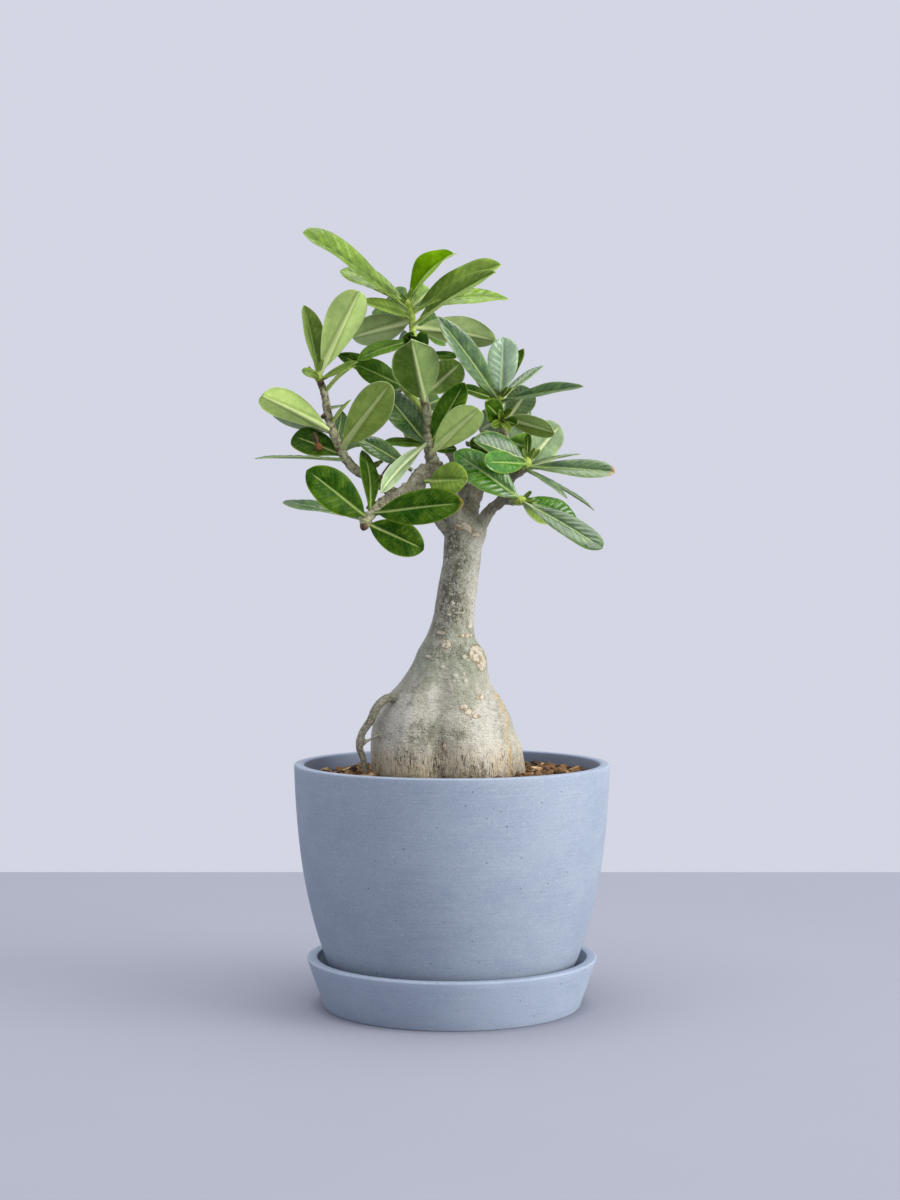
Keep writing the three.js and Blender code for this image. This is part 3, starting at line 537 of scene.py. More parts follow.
def radius_at(path, places):
    return np.interp(places, range(len(path)), [row[3] for row in path])


def grid_faces(rows, columns, closed=False):
    """Quads of a grid whose vertices run row by row. A closed grid joins its last column to its first."""
    faces = []
    for row in range(rows - 1):
        for column in range(columns if closed else columns - 1):
            right = (column + 1) % columns
            faces.append([row * columns + column, row * columns + right,
                          (row + 1) * columns + right, (row + 1) * columns + column])
    return faces


def skin_faces(rings, sides):
    """Faces of a skin over rings of points, with a flat cap at each end."""
    last = (rings - 1) * sides
    caps = [list(range(sides))[::-1], [last + i for i in range(sides)]]
    return grid_faces(rings, sides, closed=True) + caps


class Piece:
    """Gathers the vertices, faces, materials and attributes of one object."""

    # Attributes and how many numbers each has
    ATTRIBUTES = {"blade": 3, "ribs": 3, "scars": 3, "patches": 3, "tint": 3,
                  "age": 1, "limb": 1, "halves": 1}

    def __init__(self):
        self.points = []
        self.faces = []
        self.face_slots = []
        self.values = {name: [] for name in self.ATTRIBUTES}
        self.count = 0

    def add(self, points, faces, slot=0, **values):
        """Adds a closed part. slot is one number, or one for each face."""
        points = np.asarray(points, float)
        self.points.append(points)
        self.faces.extend([[corner + self.count for corner in face] for face in faces])
        self.face_slots.extend([slot] * len(faces) if np.isscalar(slot) else slot)
        for name, size in self.ATTRIBUTES.items():
            value = np.asarray(values.get(name, 0.0), float)
            self.values[name].append(np.broadcast_to(value, (len(points), size)))
        self.count += len(points)

    def build(self, name, materials, smooth=True):
        mesh = bpy.data.meshes.new(name)
        mesh.from_pydata((np.concatenate(self.points) * MM).tolist(), [], self.faces)
        for material in materials:
            mesh.materials.append(material)
        mesh.polygons.foreach_set("material_index", self.face_slots)
        mesh.polygons.foreach_set("use_smooth", [smooth] * len(self.faces))
        for attribute, size in self.ATTRIBUTES.items():
            data = np.concatenate(self.values[attribute]).astype(np.float32)
            if not data.any():
                continue
            kind = "FLOAT" if size == 1 else "FLOAT_VECTOR"
            layer = mesh.attributes.new(attribute, kind, "POINT")
            layer.data.foreach_set("value" if size == 1 else "vector", data.ravel())
        mesh.update()
        mesh.validate()
        piece = bpy.data.objects.new(name, mesh)
        bpy.context.scene.collection.objects.link(piece)
        return piece


class Value:
    """A node's output, which goes into sums as a number does."""

    def __init__(self, shader, socket):
        self.shader = shader
        self.socket = socket

    def __add__(self, other):
        return self.shader.math("ADD", self, other)

    def __sub__(self, other):
        return self.shader.math("SUBTRACT", self, other)

    def __rsub__(self, other):
        return self.shader.math("SUBTRACT", other, self)

    def __mul__(self, other):
        return self.shader.math("MULTIPLY", self, other)

    def __pow__(self, other):
        return self.shader.math("POWER", self, other)

    def __abs__(self):
        return self.shader.math("ABSOLUTE", self)

    def between(self, low, high):
        """Goes softly from 0 at low to 1 at high. low may be the greater of the two."""
        return self.shader.node("ShaderNodeMapRange", {"Value": self, "From Min": low, "From Max": high}, 0,
                                interpolation_type="SMOOTHSTEP")


class Shader:
    """Short ways to add and link the nodes of one material, whose colour is built up in base."""

    def __init__(self, name):
        self.material = bpy.data.materials.new(name)
        self.material.use_nodes = True
        self.tree = self.material.node_tree
        self.surface = self.tree.nodes["Principled BSDF"]
        self.base = None

    def put(self, socket, value):
        """Links a socket to a value, or gives it a plain number or colour."""
        if isinstance(value, Value):
            self.tree.links.new(value.socket, socket)
        elif hasattr(socket.default_value, "__len__") and len(socket.default_value) == 4:
            socket.default_value = (*value, 1)
        else:
            socket.default_value = value

    def node(self, kind, inputs, output, **settings):
        node = self.tree.nodes.new(kind)
        for name, value in settings.items():
            setattr(node, name, value)
        for name, value in inputs.items():
            self.put(node.inputs[name], value)
        return Value(self, node.outputs[output])

    def math(self, operation, first, second=0.0):
        return self.node("ShaderNodeMath", {0: first, 1: second}, 0, operation=operation)

    def mix(self, share, first, second, blend="MIX"):
        """Colour that goes from first to second as the share goes from 0 to 1."""
        return self.node("ShaderNodeMix", {0: share, 6: first, 7: second}, 2, data_type="RGBA",
                         blend_type=blend)

    def tint(self, share, colour):
        """Lays a share of a colour over the base colour."""
        self.base = self.mix(share, self.base, colour)

    def attribute(self, name, output="Fac"):
        return self.node("ShaderNodeAttribute", {}, output, attribute_name=name)

    def parts(self, vector):
        """The three numbers of a vector or colour."""
        split = self.tree.nodes.new("ShaderNodeSeparateXYZ")
        self.put(split.inputs[0], vector)
        return [Value(self, output) for output in split.outputs]

    def marks(self, name):
        return self.parts(self.attribute(name, "Vector"))

    def place(self, stretch=(1, 1, 1)):
        """The place on the object in mm, with each axis stretched."""
        coordinates = self.node("ShaderNodeTexCoord", {}, "Object")
        scale = [each / MM for each in stretch]
        return self.node("ShaderNodeVectorMath", {0: coordinates, 1: scale}, 0, operation="MULTIPLY")

    def noise(self, size, detail=3.0, stretch=(1, 1, 1), rough=0.55):
        """Smooth noise between about 0.25 and 0.75, with lumps of the given size in mm."""
        return self.node("ShaderNodeTexNoise", {"Vector": self.place(stretch), "Scale": 1 / size,
                                                "Detail": detail, "Roughness": rough}, 0)

    def cells(self, size):
        """Random cells: the distance to the middle of one, and three random numbers for each."""
        inputs = {"Vector": self.place(), "Scale": 1 / size}
        near = self.node("ShaderNodeTexVoronoi", inputs, "Distance")
        return near, self.parts(self.node("ShaderNodeTexVoronoi", inputs, "Color"))

    def finish(self, rough, shine, relief=None, depth=0.0, strength=0.0):
        """Sets the surface. The relief goes from 0 to 1, and its depth is in mm."""
        self.put(self.surface.inputs["Base Color"], self.base)
        self.put(self.surface.inputs["Roughness"], rough)
        self.put(self.surface.inputs["Specular IOR Level"], shine)
        if relief is not None:
            inputs = {"Height": relief, "Distance": depth * MM, "Strength": strength}
            self.put(self.surface.inputs["Normal"], self.node("ShaderNodeBump", inputs, 0))
        return self.material


def composite_material(name, brightness, inside_shade_share):
    """Sanded grey-blue composite: a fine grain, faint level streaks, a few dark and pale specks, and painted
    shade on the inner wall above the soil.
    """
    skin = Shader(name)
    x, y, z = skin.parts(skin.place())
    away = (x * x + y * y) ** 0.5
    blotches = skin.noise(26, 4, (1, 1, 1.3))
    clouds = skin.noise(7, 4, (1, 1, 1.6))
    streaks = skin.noise(6, 3, (0.3, 0.3, 11), 0.6)
    fine = skin.noise(0.8, 3, (0.7, 0.7, 1.6), 0.7)
    dim, bright = [[part * brightness for part in shade] for shade in COMPOSITE_SHADES]
    skin.base = skin.mix(blotches.between(0.34, 0.66), dim, bright)
    skin.tint(clouds.between(0.45, 0.72) * 0.2, [0.36, 0.4, 0.46])
    skin.tint(streaks.between(0.5, 0.72) * 0.2, [0.39, 0.43, 0.49])
    skin.tint(streaks.between(0.47, 0.3) * 0.18, [0.16, 0.19, 0.24])
    skin.tint(fine.between(0.48, 0.7) * 0.24, [0.48, 0.52, 0.6])
    skin.tint(fine.between(0.48, 0.3) * 0.24, [0.13, 0.16, 0.22])
    near, chances = skin.cells(3.1)
    skin.tint(near.between(0.17, 0.09) * chances[0].between(0.84, 0.87) * 0.7, [0.06, 0.07, 0.11])
    near, chances = skin.cells(3.3)
    skin.tint(near.between(0.12, 0.06) * chances[1].between(0.74, 0.78) * 0.5, [0.6, 0.63, 0.7])
    # Painted shade: a darker, bluer tint on the pot's inner wall above the soil
    deep = away.between(INSIDE_FROM, INSIDE_FROM - 0.6) * z.between(INSIDE_ABOVE - 1, INSIDE_ABOVE)
    skin.tint(deep * inside_shade_share, INSIDE_SHADE_TINT)
    return skin.finish(clouds * 0.22 + 0.52, 0.4, streaks * 0.5 + fine * 0.6, 0.12, 0.8)


def soil_material():
    skin = Shader("gritty_mix")
    grain = skin.noise(0.8, 4, rough=0.65)
    patches = skin.noise(2.6, 3)
    skin.base = skin.attribute("tint", "Color")
    skin.tint(grain.between(0.45, 0.7) * 0.35, [0.42, 0.27, 0.14])
    skin.tint(grain.between(0.45, 0.3) * 0.6, [0.02, 0.011, 0.006])
    skin.tint(patches.between(0.5, 0.35) * 0.45, [0.022, 0.012, 0.007])
    return skin.finish(0.92, 0.25, grain + patches * 0.8, 0.5, 0.9)


def bark_material():
    """Thin bark: cream base, green-grey neck, olive brown trunk and rough limbs."""
    skin = Shader("desert_rose_bark")
    height = skin.parts(skin.place())[2]
    scar, stripe, dark = skin.marks("scars")
    pale, lenticel, root = skin.marks("patches")
    limb = skin.attribute("limb")
    big = skin.noise(13, 4, (1, 1, 0.6))
    mottle = skin.noise(3.2, 4, (1, 1, 0.8), 0.6)
    small = skin.noise(1, 4, rough=0.65)
    crackle = skin.noise(0.55, 3, (1.2, 1.2, 0.8), 0.7)
    swirls = skin.noise(2, 3, rough=0.5)
    low = height.between(132, 114)
    upper = height.between(172, 184)
    upright = skin.noise(1.4, 4, (1.7, 1.7, 0.3), 0.65)
    level = skin.noise(1.3, 4, (0.7, 0.7, 1.7), 0.65)
    wrinkles = upright * low + level * (1 - low)
    wander = height + (big - 0.5) * 22

    skin.base = skin.mix(wander.between(102, 124), [0.39, 0.3, 0.165], [0.51, 0.485, 0.385])
    skin.tint(wander.between(148, 164), [0.375, 0.395, 0.285])
    skin.tint(wander.between(172, 184), [0.395, 0.39, 0.285])
    skin.tint(wander.between(224, 238), [0.35, 0.325, 0.225])
    skin.tint(mottle.between(0.5, 0.66) * 0.4, [0.64, 0.625, 0.54])
    # Pale marks: pale bark, partly painted highlight where the light falls
    skin.tint(pale * 0.62, [0.68, 0.66, 0.57])
    skin.tint(low * big.between(0.38, 0.56) * 0.6, [0.64, 0.5, 0.3])
    skin.tint(big.between(0.5, 0.64) * pale.between(0.8, 0.1) * 0.4, [0.225, 0.255, 0.15])
    # Dark mottles in the dark marks; in the front groove of the base they are partly painted shade
    skin.tint(dark * mottle.between(0.66, 0.4) * (upper * 0.4 + 0.5), [0.105, 0.1, 0.055])
    skin.tint(crackle.between(0.52, 0.62) * (dark + 0.16) * 0.45, [0.56, 0.54, 0.43])
    skin.tint(limb * 0.45, [0.185, 0.165, 0.1])
    skin.tint(mottle.between(0.52, 0.36) * (limb * 0.35 + 0.16), [0.08, 0.075, 0.046])
    skin.tint(wrinkles.between(0.48, 0.39) * ((dark + low) * 0.22 + 0.36), [0.16, 0.138, 0.088])
    skin.tint(crackle.between(0.45, 0.37) * (dark * 0.4 + 0.46), [0.085, 0.072, 0.04])
    # Dark upright dashes
    edge = 0.7 - low * 0.085 - (dark + upper) * 0.04
    dash = (skin.noise(0.85, 2, (1, 1, 0.26), 0.5) - edge) * 18
    dash = skin.math("MAXIMUM", skin.math("MINIMUM", dash, 1), 0)
    skin.tint(dash * 0.85, [0.07, 0.046, 0.024])
    # Pale dots on the trunk, and the lenticels
    near, chances = skin.cells(1.7)
    dot = near.between(0.34, 0.2) * chances[0].between(0.3, 0.34) * upper * (dark + 0.08)
    dot = skin.math("MINIMUM", skin.math("MAXIMUM", dot, lenticel), 1)
    skin.tint(dot * 0.85, [0.69, 0.64, 0.5])
    # Scars that healed over, with a brown rim
    heal = skin.mix(swirls.between(0.46, 0.53), [0.4, 0.28, 0.155], [0.72, 0.65, 0.5])
    skin.tint(scar.between(0.15, 0.6) * 0.8, heal)
    skin.tint(scar.between(0.03, 0.22) * scar.between(0.55, 0.3) * 0.75, [0.21, 0.13, 0.068])
    skin.tint(stripe * small.between(0.38, 0.56) * 0.75, [0.66, 0.43, 0.15])
    skin.tint(limb * small.between(0.5, 0.34) * 0.7, [0.06, 0.045, 0.028])
    skin.tint(root * 0.8, skin.mix(small.between(0.38, 0.62), [0.1, 0.09, 0.055], [0.38, 0.36, 0.25]))
    relief = mottle * 0.5 + small * 0.9 + wrinkles * 1.7 + crackle * 0.7 - dash * 0.6 + dot * 0.5
    return skin.finish(small * 0.3 + 0.4, 0.45, relief, 0.7, 1)


def vein_phase(blade, across):
    """Counts the side veins along a blade: whole numbers lie on a vein, which leans towards the tip."""
    return blade * VEIN_PAIRS - abs(across) ** 0.9 * VEIN_LEAN


def vein_lines(skin, blade, across):
    """The side veins as a number from 0 to 1."""
    near = abs(skin.math("FRACT", vein_phase(blade, across) + 0.5) - 0.5)
    return near.between(0.06, 0.01) * (abs(across).between(0.97, 0.85) * blade.between(0.02, 0.1))


def swellings(skin, blade, across):
    """How high the leaf swells between its side veins, from 0 to 1."""
    crest = skin.math("SINE", vein_phase(blade, across) * math.pi) ** 6
    inside = abs(across).between(0.97, 0.7) * abs(across).between(0.04, 0.3)
    return crest * (inside * (blade.between(0.05, 0.2) * blade.between(0.98, 0.85)))


def leaf_skin(name, colour, own_share, cloud_size, shadow, light):
    """The start of a leaf's material: each leaf's own shade of the look's colour, with soft clouds in it.

    shadow and light are each a share and a colour."""
    skin = Shader(name)
    shade = skin.marks("blade")[2] * (2 * own_share) + (1 - own_share)
    grey = skin.node("ShaderNodeCombineColor", {0: shade, 1: shade, 2: shade}, 0)
    own = skin.mix(1, colour, grey, "MULTIPLY")
    cloud = skin.noise(cloud_size, 3)
    skin.base = skin.mix(cloud.between(0.35, 0.68), skin.mix(shadow[0], own, shadow[1]),
                         skin.mix(light[0], own, light[1]))
    return skin


def painted_half_light_and_shade(skin, across, pale, dark):
    """Paints light on one half of some leaves and shade on the other: a painted lit half and a painted
    shaded half.
    """
    halves = skin.attribute("halves")
    side = (across * halves).between(-0.01, 0.01)
    skin.tint(abs(halves) * side * 0.55, pale)
    skin.tint(abs(halves) * (1 - side) * 0.3, dark)


def leaf_upper_material(look):
    """Upper face: pale midrib, fine pale side veins, thin pale edge, some tips turned yellow or brown,
    painted highlights on the swellings between the veins and painted shade in the hollows beside the midrib.
    """
    colour, _, roughness, shine, vein_share, swelling = LEAF_LOOKS[look]
    skin = leaf_skin("leaf_upper_" + look, colour, 0.22, 6, (0.3, [0.006, 0.03, 0.001]),
                     (0.12, [0.28, 0.45, 0.01]))
    blade, across, _ = skin.marks("blade")
    rib, margin, hollow_shade = skin.marks("ribs")
    cloud = skin.noise(6, 3)
    fine = skin.noise(0.9, 3, rough=0.6)
    speckle = skin.noise(0.35, 2)
    skin.tint(fine.between(0.5, 0.75) * 0.35, skin.mix(0.35, skin.base, [0.3, 0.45, 0.01]))
    skin.tint(speckle.between(0.5, 0.3) * 0.3, [0.006, 0.024, 0.001])
    # Painted light on one half and painted shade on the other
    painted_half_light_and_shade(skin, across, [0.42, 0.56, 0.2], [0.02, 0.06, 0.002])
    # Painted highlights along the crests of the swellings between the side veins
    crest_highlights = swellings(skin, blade, across) * cloud.between(0.4, 0.62) * (0.34 * swelling)
    skin.tint(crest_highlights, skin.mix(0.6, skin.base, [0.56, 0.7, 0.24]))
    veins = vein_lines(skin, blade, across)
    skin.tint(veins * vein_share, [0.28, 0.46, 0.02])
    # Painted shade in the hollows beside the midrib
    skin.tint(hollow_shade * 0.25, [0.01, 0.04, 0.001])
    skin.tint(rib ** 3 * 0.75, skin.mix(0.7, skin.base, [0.56, 0.68, 0.22]))
    skin.tint(margin * 0.35, [0.33, 0.44, 0.05])
    tip = (blade + abs(across) * 0.03).between(0.955, 0.995)
    skin.tint(skin.attribute("age") * tip * 0.9, [0.33, 0.17, 0.03])
    return skin.finish((fine - 0.5) * 0.35 + roughness, shine, fine * 0.5 - veins * 0.8, 0.18, 0.8)


def leaf_under_material(look):
    """Matt underside: paler, with a strong pale midrib between two hollows painted in shade, and a thin pale
    edge.
    """
    skin = leaf_skin("leaf_underside_" + look, LEAF_LOOKS[look][1], 0.12, 5,
                     (0.22, [0.04, 0.09, 0.008]), (0.14, [0.48, 0.56, 0.18]))
    blade, across, _ = skin.marks("blade")
    rib, margin, hollow_shade = skin.marks("ribs")
    fine = skin.noise(0.8, 3, rough=0.6)
    speckle = skin.noise(0.35, 2)
    skin.tint(fine.between(0.45, 0.75) * 0.22, [0.4, 0.5, 0.19])
    skin.tint(speckle.between(0.5, 0.3) * 0.22, [0.05, 0.1, 0.012])
    # Painted light on one half and painted shade on the other
    painted_half_light_and_shade(skin, across, [0.52, 0.64, 0.33], [0.07, 0.13, 0.012])
    veins = vein_lines(skin, blade, across)
    skin.tint(veins * 0.08, [0.46, 0.56, 0.2])
    # Painted shade in the hollows beside the midrib
    skin.tint(hollow_shade * 0.45, [0.06, 0.11, 0.01])
    skin.tint(rib * 0.85, skin.mix(0.55, skin.base, [0.76, 0.8, 0.42]))
    skin.tint(margin * 0.6, [0.52, 0.6, 0.3])
    skin.tint(skin.attribute("age") * blade.between(0.94, 0.99) * 0.9, [0.33, 0.18, 0.05])
    return skin.finish(0.58, 0.18, fine * 0.5 + veins * 0.4, 0.14, 0.8)


def stem_material():
    """Young stem: green at the tip, grey-brown with pale specks where it is old."""
    skin = Shader("young_stem")
    mottle = skin.noise(2.6, 4, rough=0.6)
    fine = skin.noise(0.7, 3)
    old = skin.mix(mottle.between(0.36, 0.6), [0.11, 0.085, 0.04], [0.33, 0.33, 0.19])
    young = skin.mix(mottle.between(0.38, 0.66), [0.2, 0.29, 0.015], [0.4, 0.52, 0.09])
    skin.base = skin.mix(skin.attribute("age").between(0.15, 0.75), old, young)
    skin.tint(skin.cells(1.6)[0].between(0.24, 0.12) * 0.4, [0.58, 0.56, 0.42])
    skin.tint(fine.between(0.42, 0.3) * 0.5, [0.06, 0.038, 0.018])
    return skin.finish(0.6, 0.35, mottle + fine * 0.6, 0.4, 0.9)


def bud_material():
    """Dried buds: a dark skin, paler on its raised folds."""
    skin = Shader("dried_bud")
    folds = skin.noise(0.7, 4, (1.4, 1.4, 0.6), 0.6)
    skin.base = skin.attribute("tint", "Color")
    skin.tint(folds.between(0.48, 0.66) * 0.5, [0.34, 0.23, 0.12])
    return skin.finish(0.7, 0.3, folds, 0.4, 0.9)


def floor_material():
    skin = Shader("pale_table")
    skin.base = skin.mix(skin.noise(180, 3), [0.272, 0.284, 0.33], [0.292, 0.302, 0.348])
    return skin.finish(0.8, 0.1)


def arc(middle, radius, start, end):
    """An arc about middle from one angle to another, in degrees, as [radius, height] points."""
    angles = [math.radians(start + (end - start) * step / EDGE_STEPS) for step in range(EDGE_STEPS + 1)]
    return [[middle[0] + radius * math.cos(a), middle[1] + radius * math.sin(a)] for a in angles]


def subdivided(profile, longest):
    """Adds points so that no step of a profile is longer than asked."""
    found = [profile[0]]
    for (r0, z0), (r1, z1) in zip(profile, profile[1:]):
        steps = max(1, math.ceil(math.dist((r0, z0), (r1, z1)) / longest))
        found += [[r0 + (r1 - r0) * i / steps, z0 + (z1 - z0) * i / steps] for i in range(1, steps + 1)]
    return found


def turned(profile, closed):
    """Points and faces of a profile turned about the Z axis, with its outside on the profile's right.

    closed joins the last ring to the first. Otherwise both ends are capped."""
    turns = full_turn(TURNED_SIDES)
    rings = [np.c_[r * np.cos(turns), r * np.sin(turns), np.full(TURNED_SIDES, z)] for r, z in profile]
    points = np.concatenate(rings)
    if not closed:
        return points, skin_faces(len(rings), TURNED_SIDES)
    faces = grid_faces(len(rings) + 1, TURNED_SIDES, closed=True)
    return points, [[corner % len(points) for corner in face] for face in faces]


def saucer_piece():
    edge = EDGE_ROUNDING
    inner_top = SAUCER_TOP_RADIUS - SAUCER_WALL
    inner_floor = SAUCER_BASE_RADIUS - SAUCER_WALL - SAUCER_TAPER
    upper = SAUCER_HEIGHT - edge
    profile = [[AXIS_RADIUS, 0], [SAUCER_BASE_RADIUS - edge, 0]]
    profile += arc([SAUCER_BASE_RADIUS - edge, edge], edge, -90, -SAUCER_LEAN)[1:]
    profile += arc([SAUCER_TOP_RADIUS - edge, upper], edge, -SAUCER_LEAN, 90)
    profile += arc([inner_top + edge, upper], edge, 90, 180 + SAUCER_LEAN)
    profile += arc([inner_floor - SAUCER_CORNER, SAUCER_FLOOR + SAUCER_CORNER], SAUCER_CORNER, 0, -90)
    profile += [[AXIS_RADIUS, SAUCER_FLOOR]]
    piece = Piece()
    piece.add(*turned(subdivided(profile, SAUCER_STEP), closed=False))
    return piece.build("saucer_turned", [composite_material("saucer_composite", 1.16, 0.0)])


def pot_piece():
    edge = EDGE_ROUNDING
    path = [[*point, 0] for point in [*POT_OUTLINE, [POT_RIM_RADIUS, POT_TOP - edge]]]
    outer = curve_at(path, np.linspace(0, len(path) - 1, (len(path) - 1) * OUTLINE_STEPS + 1))[0][:, :2]
    floor = POT_BASE + POT_FLOOR
    inner = [[radius - POT_WALL, height] for radius, height in outer if height > floor + POT_INNER_CORNER]
    profile = [[DRAIN_RADIUS, POT_BASE], [POT_FOOT_RADIUS, POT_BASE]]
    profile += arc([POT_FOOT_RADIUS, POT_BASE + POT_FOOT_CORNER], POT_FOOT_CORNER, -88, -30)
    profile += outer.tolist()
    profile += arc([POT_RIM_RADIUS - edge, POT_TOP - edge], edge, 0, 90)[1:]
    profile += arc([POT_RIM_RADIUS - POT_WALL + edge, POT_TOP - edge], edge, 90, 180)
    profile += inner[::-1][1:]
    profile += arc([inner[0][0] - POT_INNER_CORNER, floor + POT_INNER_CORNER], POT_INNER_CORNER, 0, -90)
    profile += [[DRAIN_RADIUS, floor]]
    piece = Piece()
    piece.add(*turned(subdivided(profile, POT_STEP), closed=True))
    return piece.build("pot_turned", [composite_material("pot_composite", 0.985, 0.45)])


def groove_share(direction, height):
    ends = np.minimum((GROOVES_TO - height) / GROOVE_FALL, (height - GROOVES_FROM) / GROOVE_RISE)
    share = 1.0
    for groove, width, depth in GROOVES:
        away = (np.abs((direction - groove + 540) % 360 - 180)) / width
        share = share - np.clip(ends, 0, 1) * depth * np.exp(-away * away)
    return share


def caudex_rows():
    """The rows of CAUDEX evenly spaced and smoothed."""
    table = np.array(CAUDEX, float)
    heights = np.arange(CAUDEX[0][0], CAUDEX[-1][0] + CAUDEX_STEP / 2, CAUDEX_STEP)
    rows = [np.interp(heights, table[:, 0], table[:, column]) for column in (1, 2, 3)]
    kernel = np.exp(-np.linspace(-2, 2, 2 * CAUDEX_BLUR + 1) ** 2)
    kernel /= kernel.sum()
    smooth = [np.convolve(np.pad(row, CAUDEX_BLUR, mode="edge"), kernel, mode="valid") for row in rows]
    return np.stack([heights, *smooth], 1)


def caudex_surface(rows, grow=0.0, sides=CAUDEX_SIDES):
    turns = full_turn(sides)
    rings = []
    for height, middle, half_width, half_depth in rows:
        share = groove_share(np.degrees(turns), height)
        rings.append(np.c_[middle + np.cos(turns) * (half_width * share + grow),
                           np.sin(turns) * (half_depth * share + grow), np.full(sides, height)])
    return rings


def tube(path, start, end, sides, step, radius_of=None, rough=0.0):
    """A closed tube with round ends along part of a path: points, faces and the place of each point.

    rough is how far its skin goes in and out, as a share of its radius."""
    length = sum(np.linalg.norm(np.subtract(b[:3], a[:3])) for a, b in zip(path, path[1:]))
    rings = max(4, int(length * (end - start) / (len(path) - 1) / step))
    places = np.linspace(start, end, rings)
    middles, directions = curve_at(path, places)
    radii = radius_at(path, places) if radius_of is None else radius_of(places)
    side = unit(np.cross(np.cross(middles[-1] - middles[0], FRONT), directions))
    other = np.cross(directions, side)

    def dome(way, ring):
        """The rings that close one end."""
        return [(middles[ring] + way * directions[ring] * radii[ring] * math.sin(angle),
                 radii[ring] * math.cos(angle), ring) for angle in DOME_ANGLES]

    body = [(middles[i], radii[i], i) for i in range(rings)]
    every = [*dome(-1, 0), *body, *dome(1, -1)[::-1]]
    turns = full_turn(sides)
    points, spots = [], []
    for middle, radius, i in every:
        ring = radius * (np.outer(np.cos(turns), side[i]) + np.outer(np.sin(turns), other[i]))
        if rough:
            ring = ring * (1 + rough * noise_at(middle + ring, 1.7)[:, None])
        points.append(middle + ring)
        spots += [places[i]] * sides
    return np.concatenate(points), skin_faces(len(every), sides), np.array(spots)


def joined_surface(parts):
    """One smooth skin over several closed parts that overlap: points, faces and edges."""
    raw = Piece()
    for points, faces in parts:
        raw.add(points, faces)
    source = raw.build("raw_wood", [])
    remesh = source.modifiers.new("join", "REMESH")
    remesh.mode = "VOXEL"
    remesh.voxel_size = TRUNK_VOXEL * MM
    mesh = source.evaluated_get(bpy.context.evaluated_depsgraph_get()).to_mesh()
    points = np.empty(len(mesh.vertices) * 3)
    mesh.vertices.foreach_get("co", points)
    faces = [list(polygon.vertices) for polygon in mesh.polygons]
    edges = np.empty(len(mesh.edges) * 2, int)
    mesh.edges.foreach_get("vertices", edges)
    bpy.data.objects.remove(source)
    return points.reshape(-1, 3) / MM, faces, edges.reshape(-1, 2)


def smoothed(points, edges, rounds):
    """Smooths a skin and swells it back after each round, so that thin limbs keep their girth."""
    counts = np.bincount(edges.ravel(), minlength=len(points))[:, None]
    for share in SMOOTHING_SHARES * rounds:
        total = np.zeros_like(points)
        np.add.at(total, edges[:, 0], points[edges[:, 1]])
        np.add.at(total, edges[:, 1], points[edges[:, 0]])
        points = points + share * (total / counts - points)
    return points


def skin_normals(points, faces):
    mesh = bpy.data.meshes.new("skin")
    mesh.from_pydata(points.tolist(), [], faces)
    normals = np.empty(len(points) * 3)
    mesh.vertices.foreach_get("normal", normals)
    bpy.data.meshes.remove(mesh)
    return normals.reshape(-1, 3)


def inside_mark(away, ragged):
    """1 inside a mark and 0 outside, with a ragged edge. away is 1 on the mark's outline."""
    return smoothstep(1.25, 0.75, away + 0.3 * ragged)


def mark_weight(points, marks, ragged):
    """How far each point lies inside one of the marks on the front, from 0 to 1."""
    weight = np.zeros(len(points))
    for x, z, half_width, half_height in marks:
        away = np.hypot((points[:, 0] - x) / half_width, (points[:, 2] - z) / half_height)
        weight = np.maximum(weight, inside_mark(away, ragged) * (points[:, 1] < 0))
    return weight


def back_scar_weight(points, scar, ragged):
    """Adds random scars on the back to the weight of those on the front."""
    draw = random.Random(BACK_SEED)
    for _ in range(BACK_SCARS):
        height = draw.uniform(*BACK_SCAR_HEIGHTS)
        turn = draw.uniform(0.15, 0.85) * math.pi
        row = min(CAUDEX, key=lambda each: abs(each[0] - height))
        spot = np.array([row[1] + row[2] * math.cos(turn), row[3] * math.sin(turn), height])
        size = draw.uniform(*BACK_SCAR_SIZES)
        away = np.linalg.norm((points - spot) / [1, 1, draw.uniform(*BACK_SCAR_STRETCH)], axis=1) / size
        scar = np.maximum(scar, inside_mark(away, ragged))
    return scar


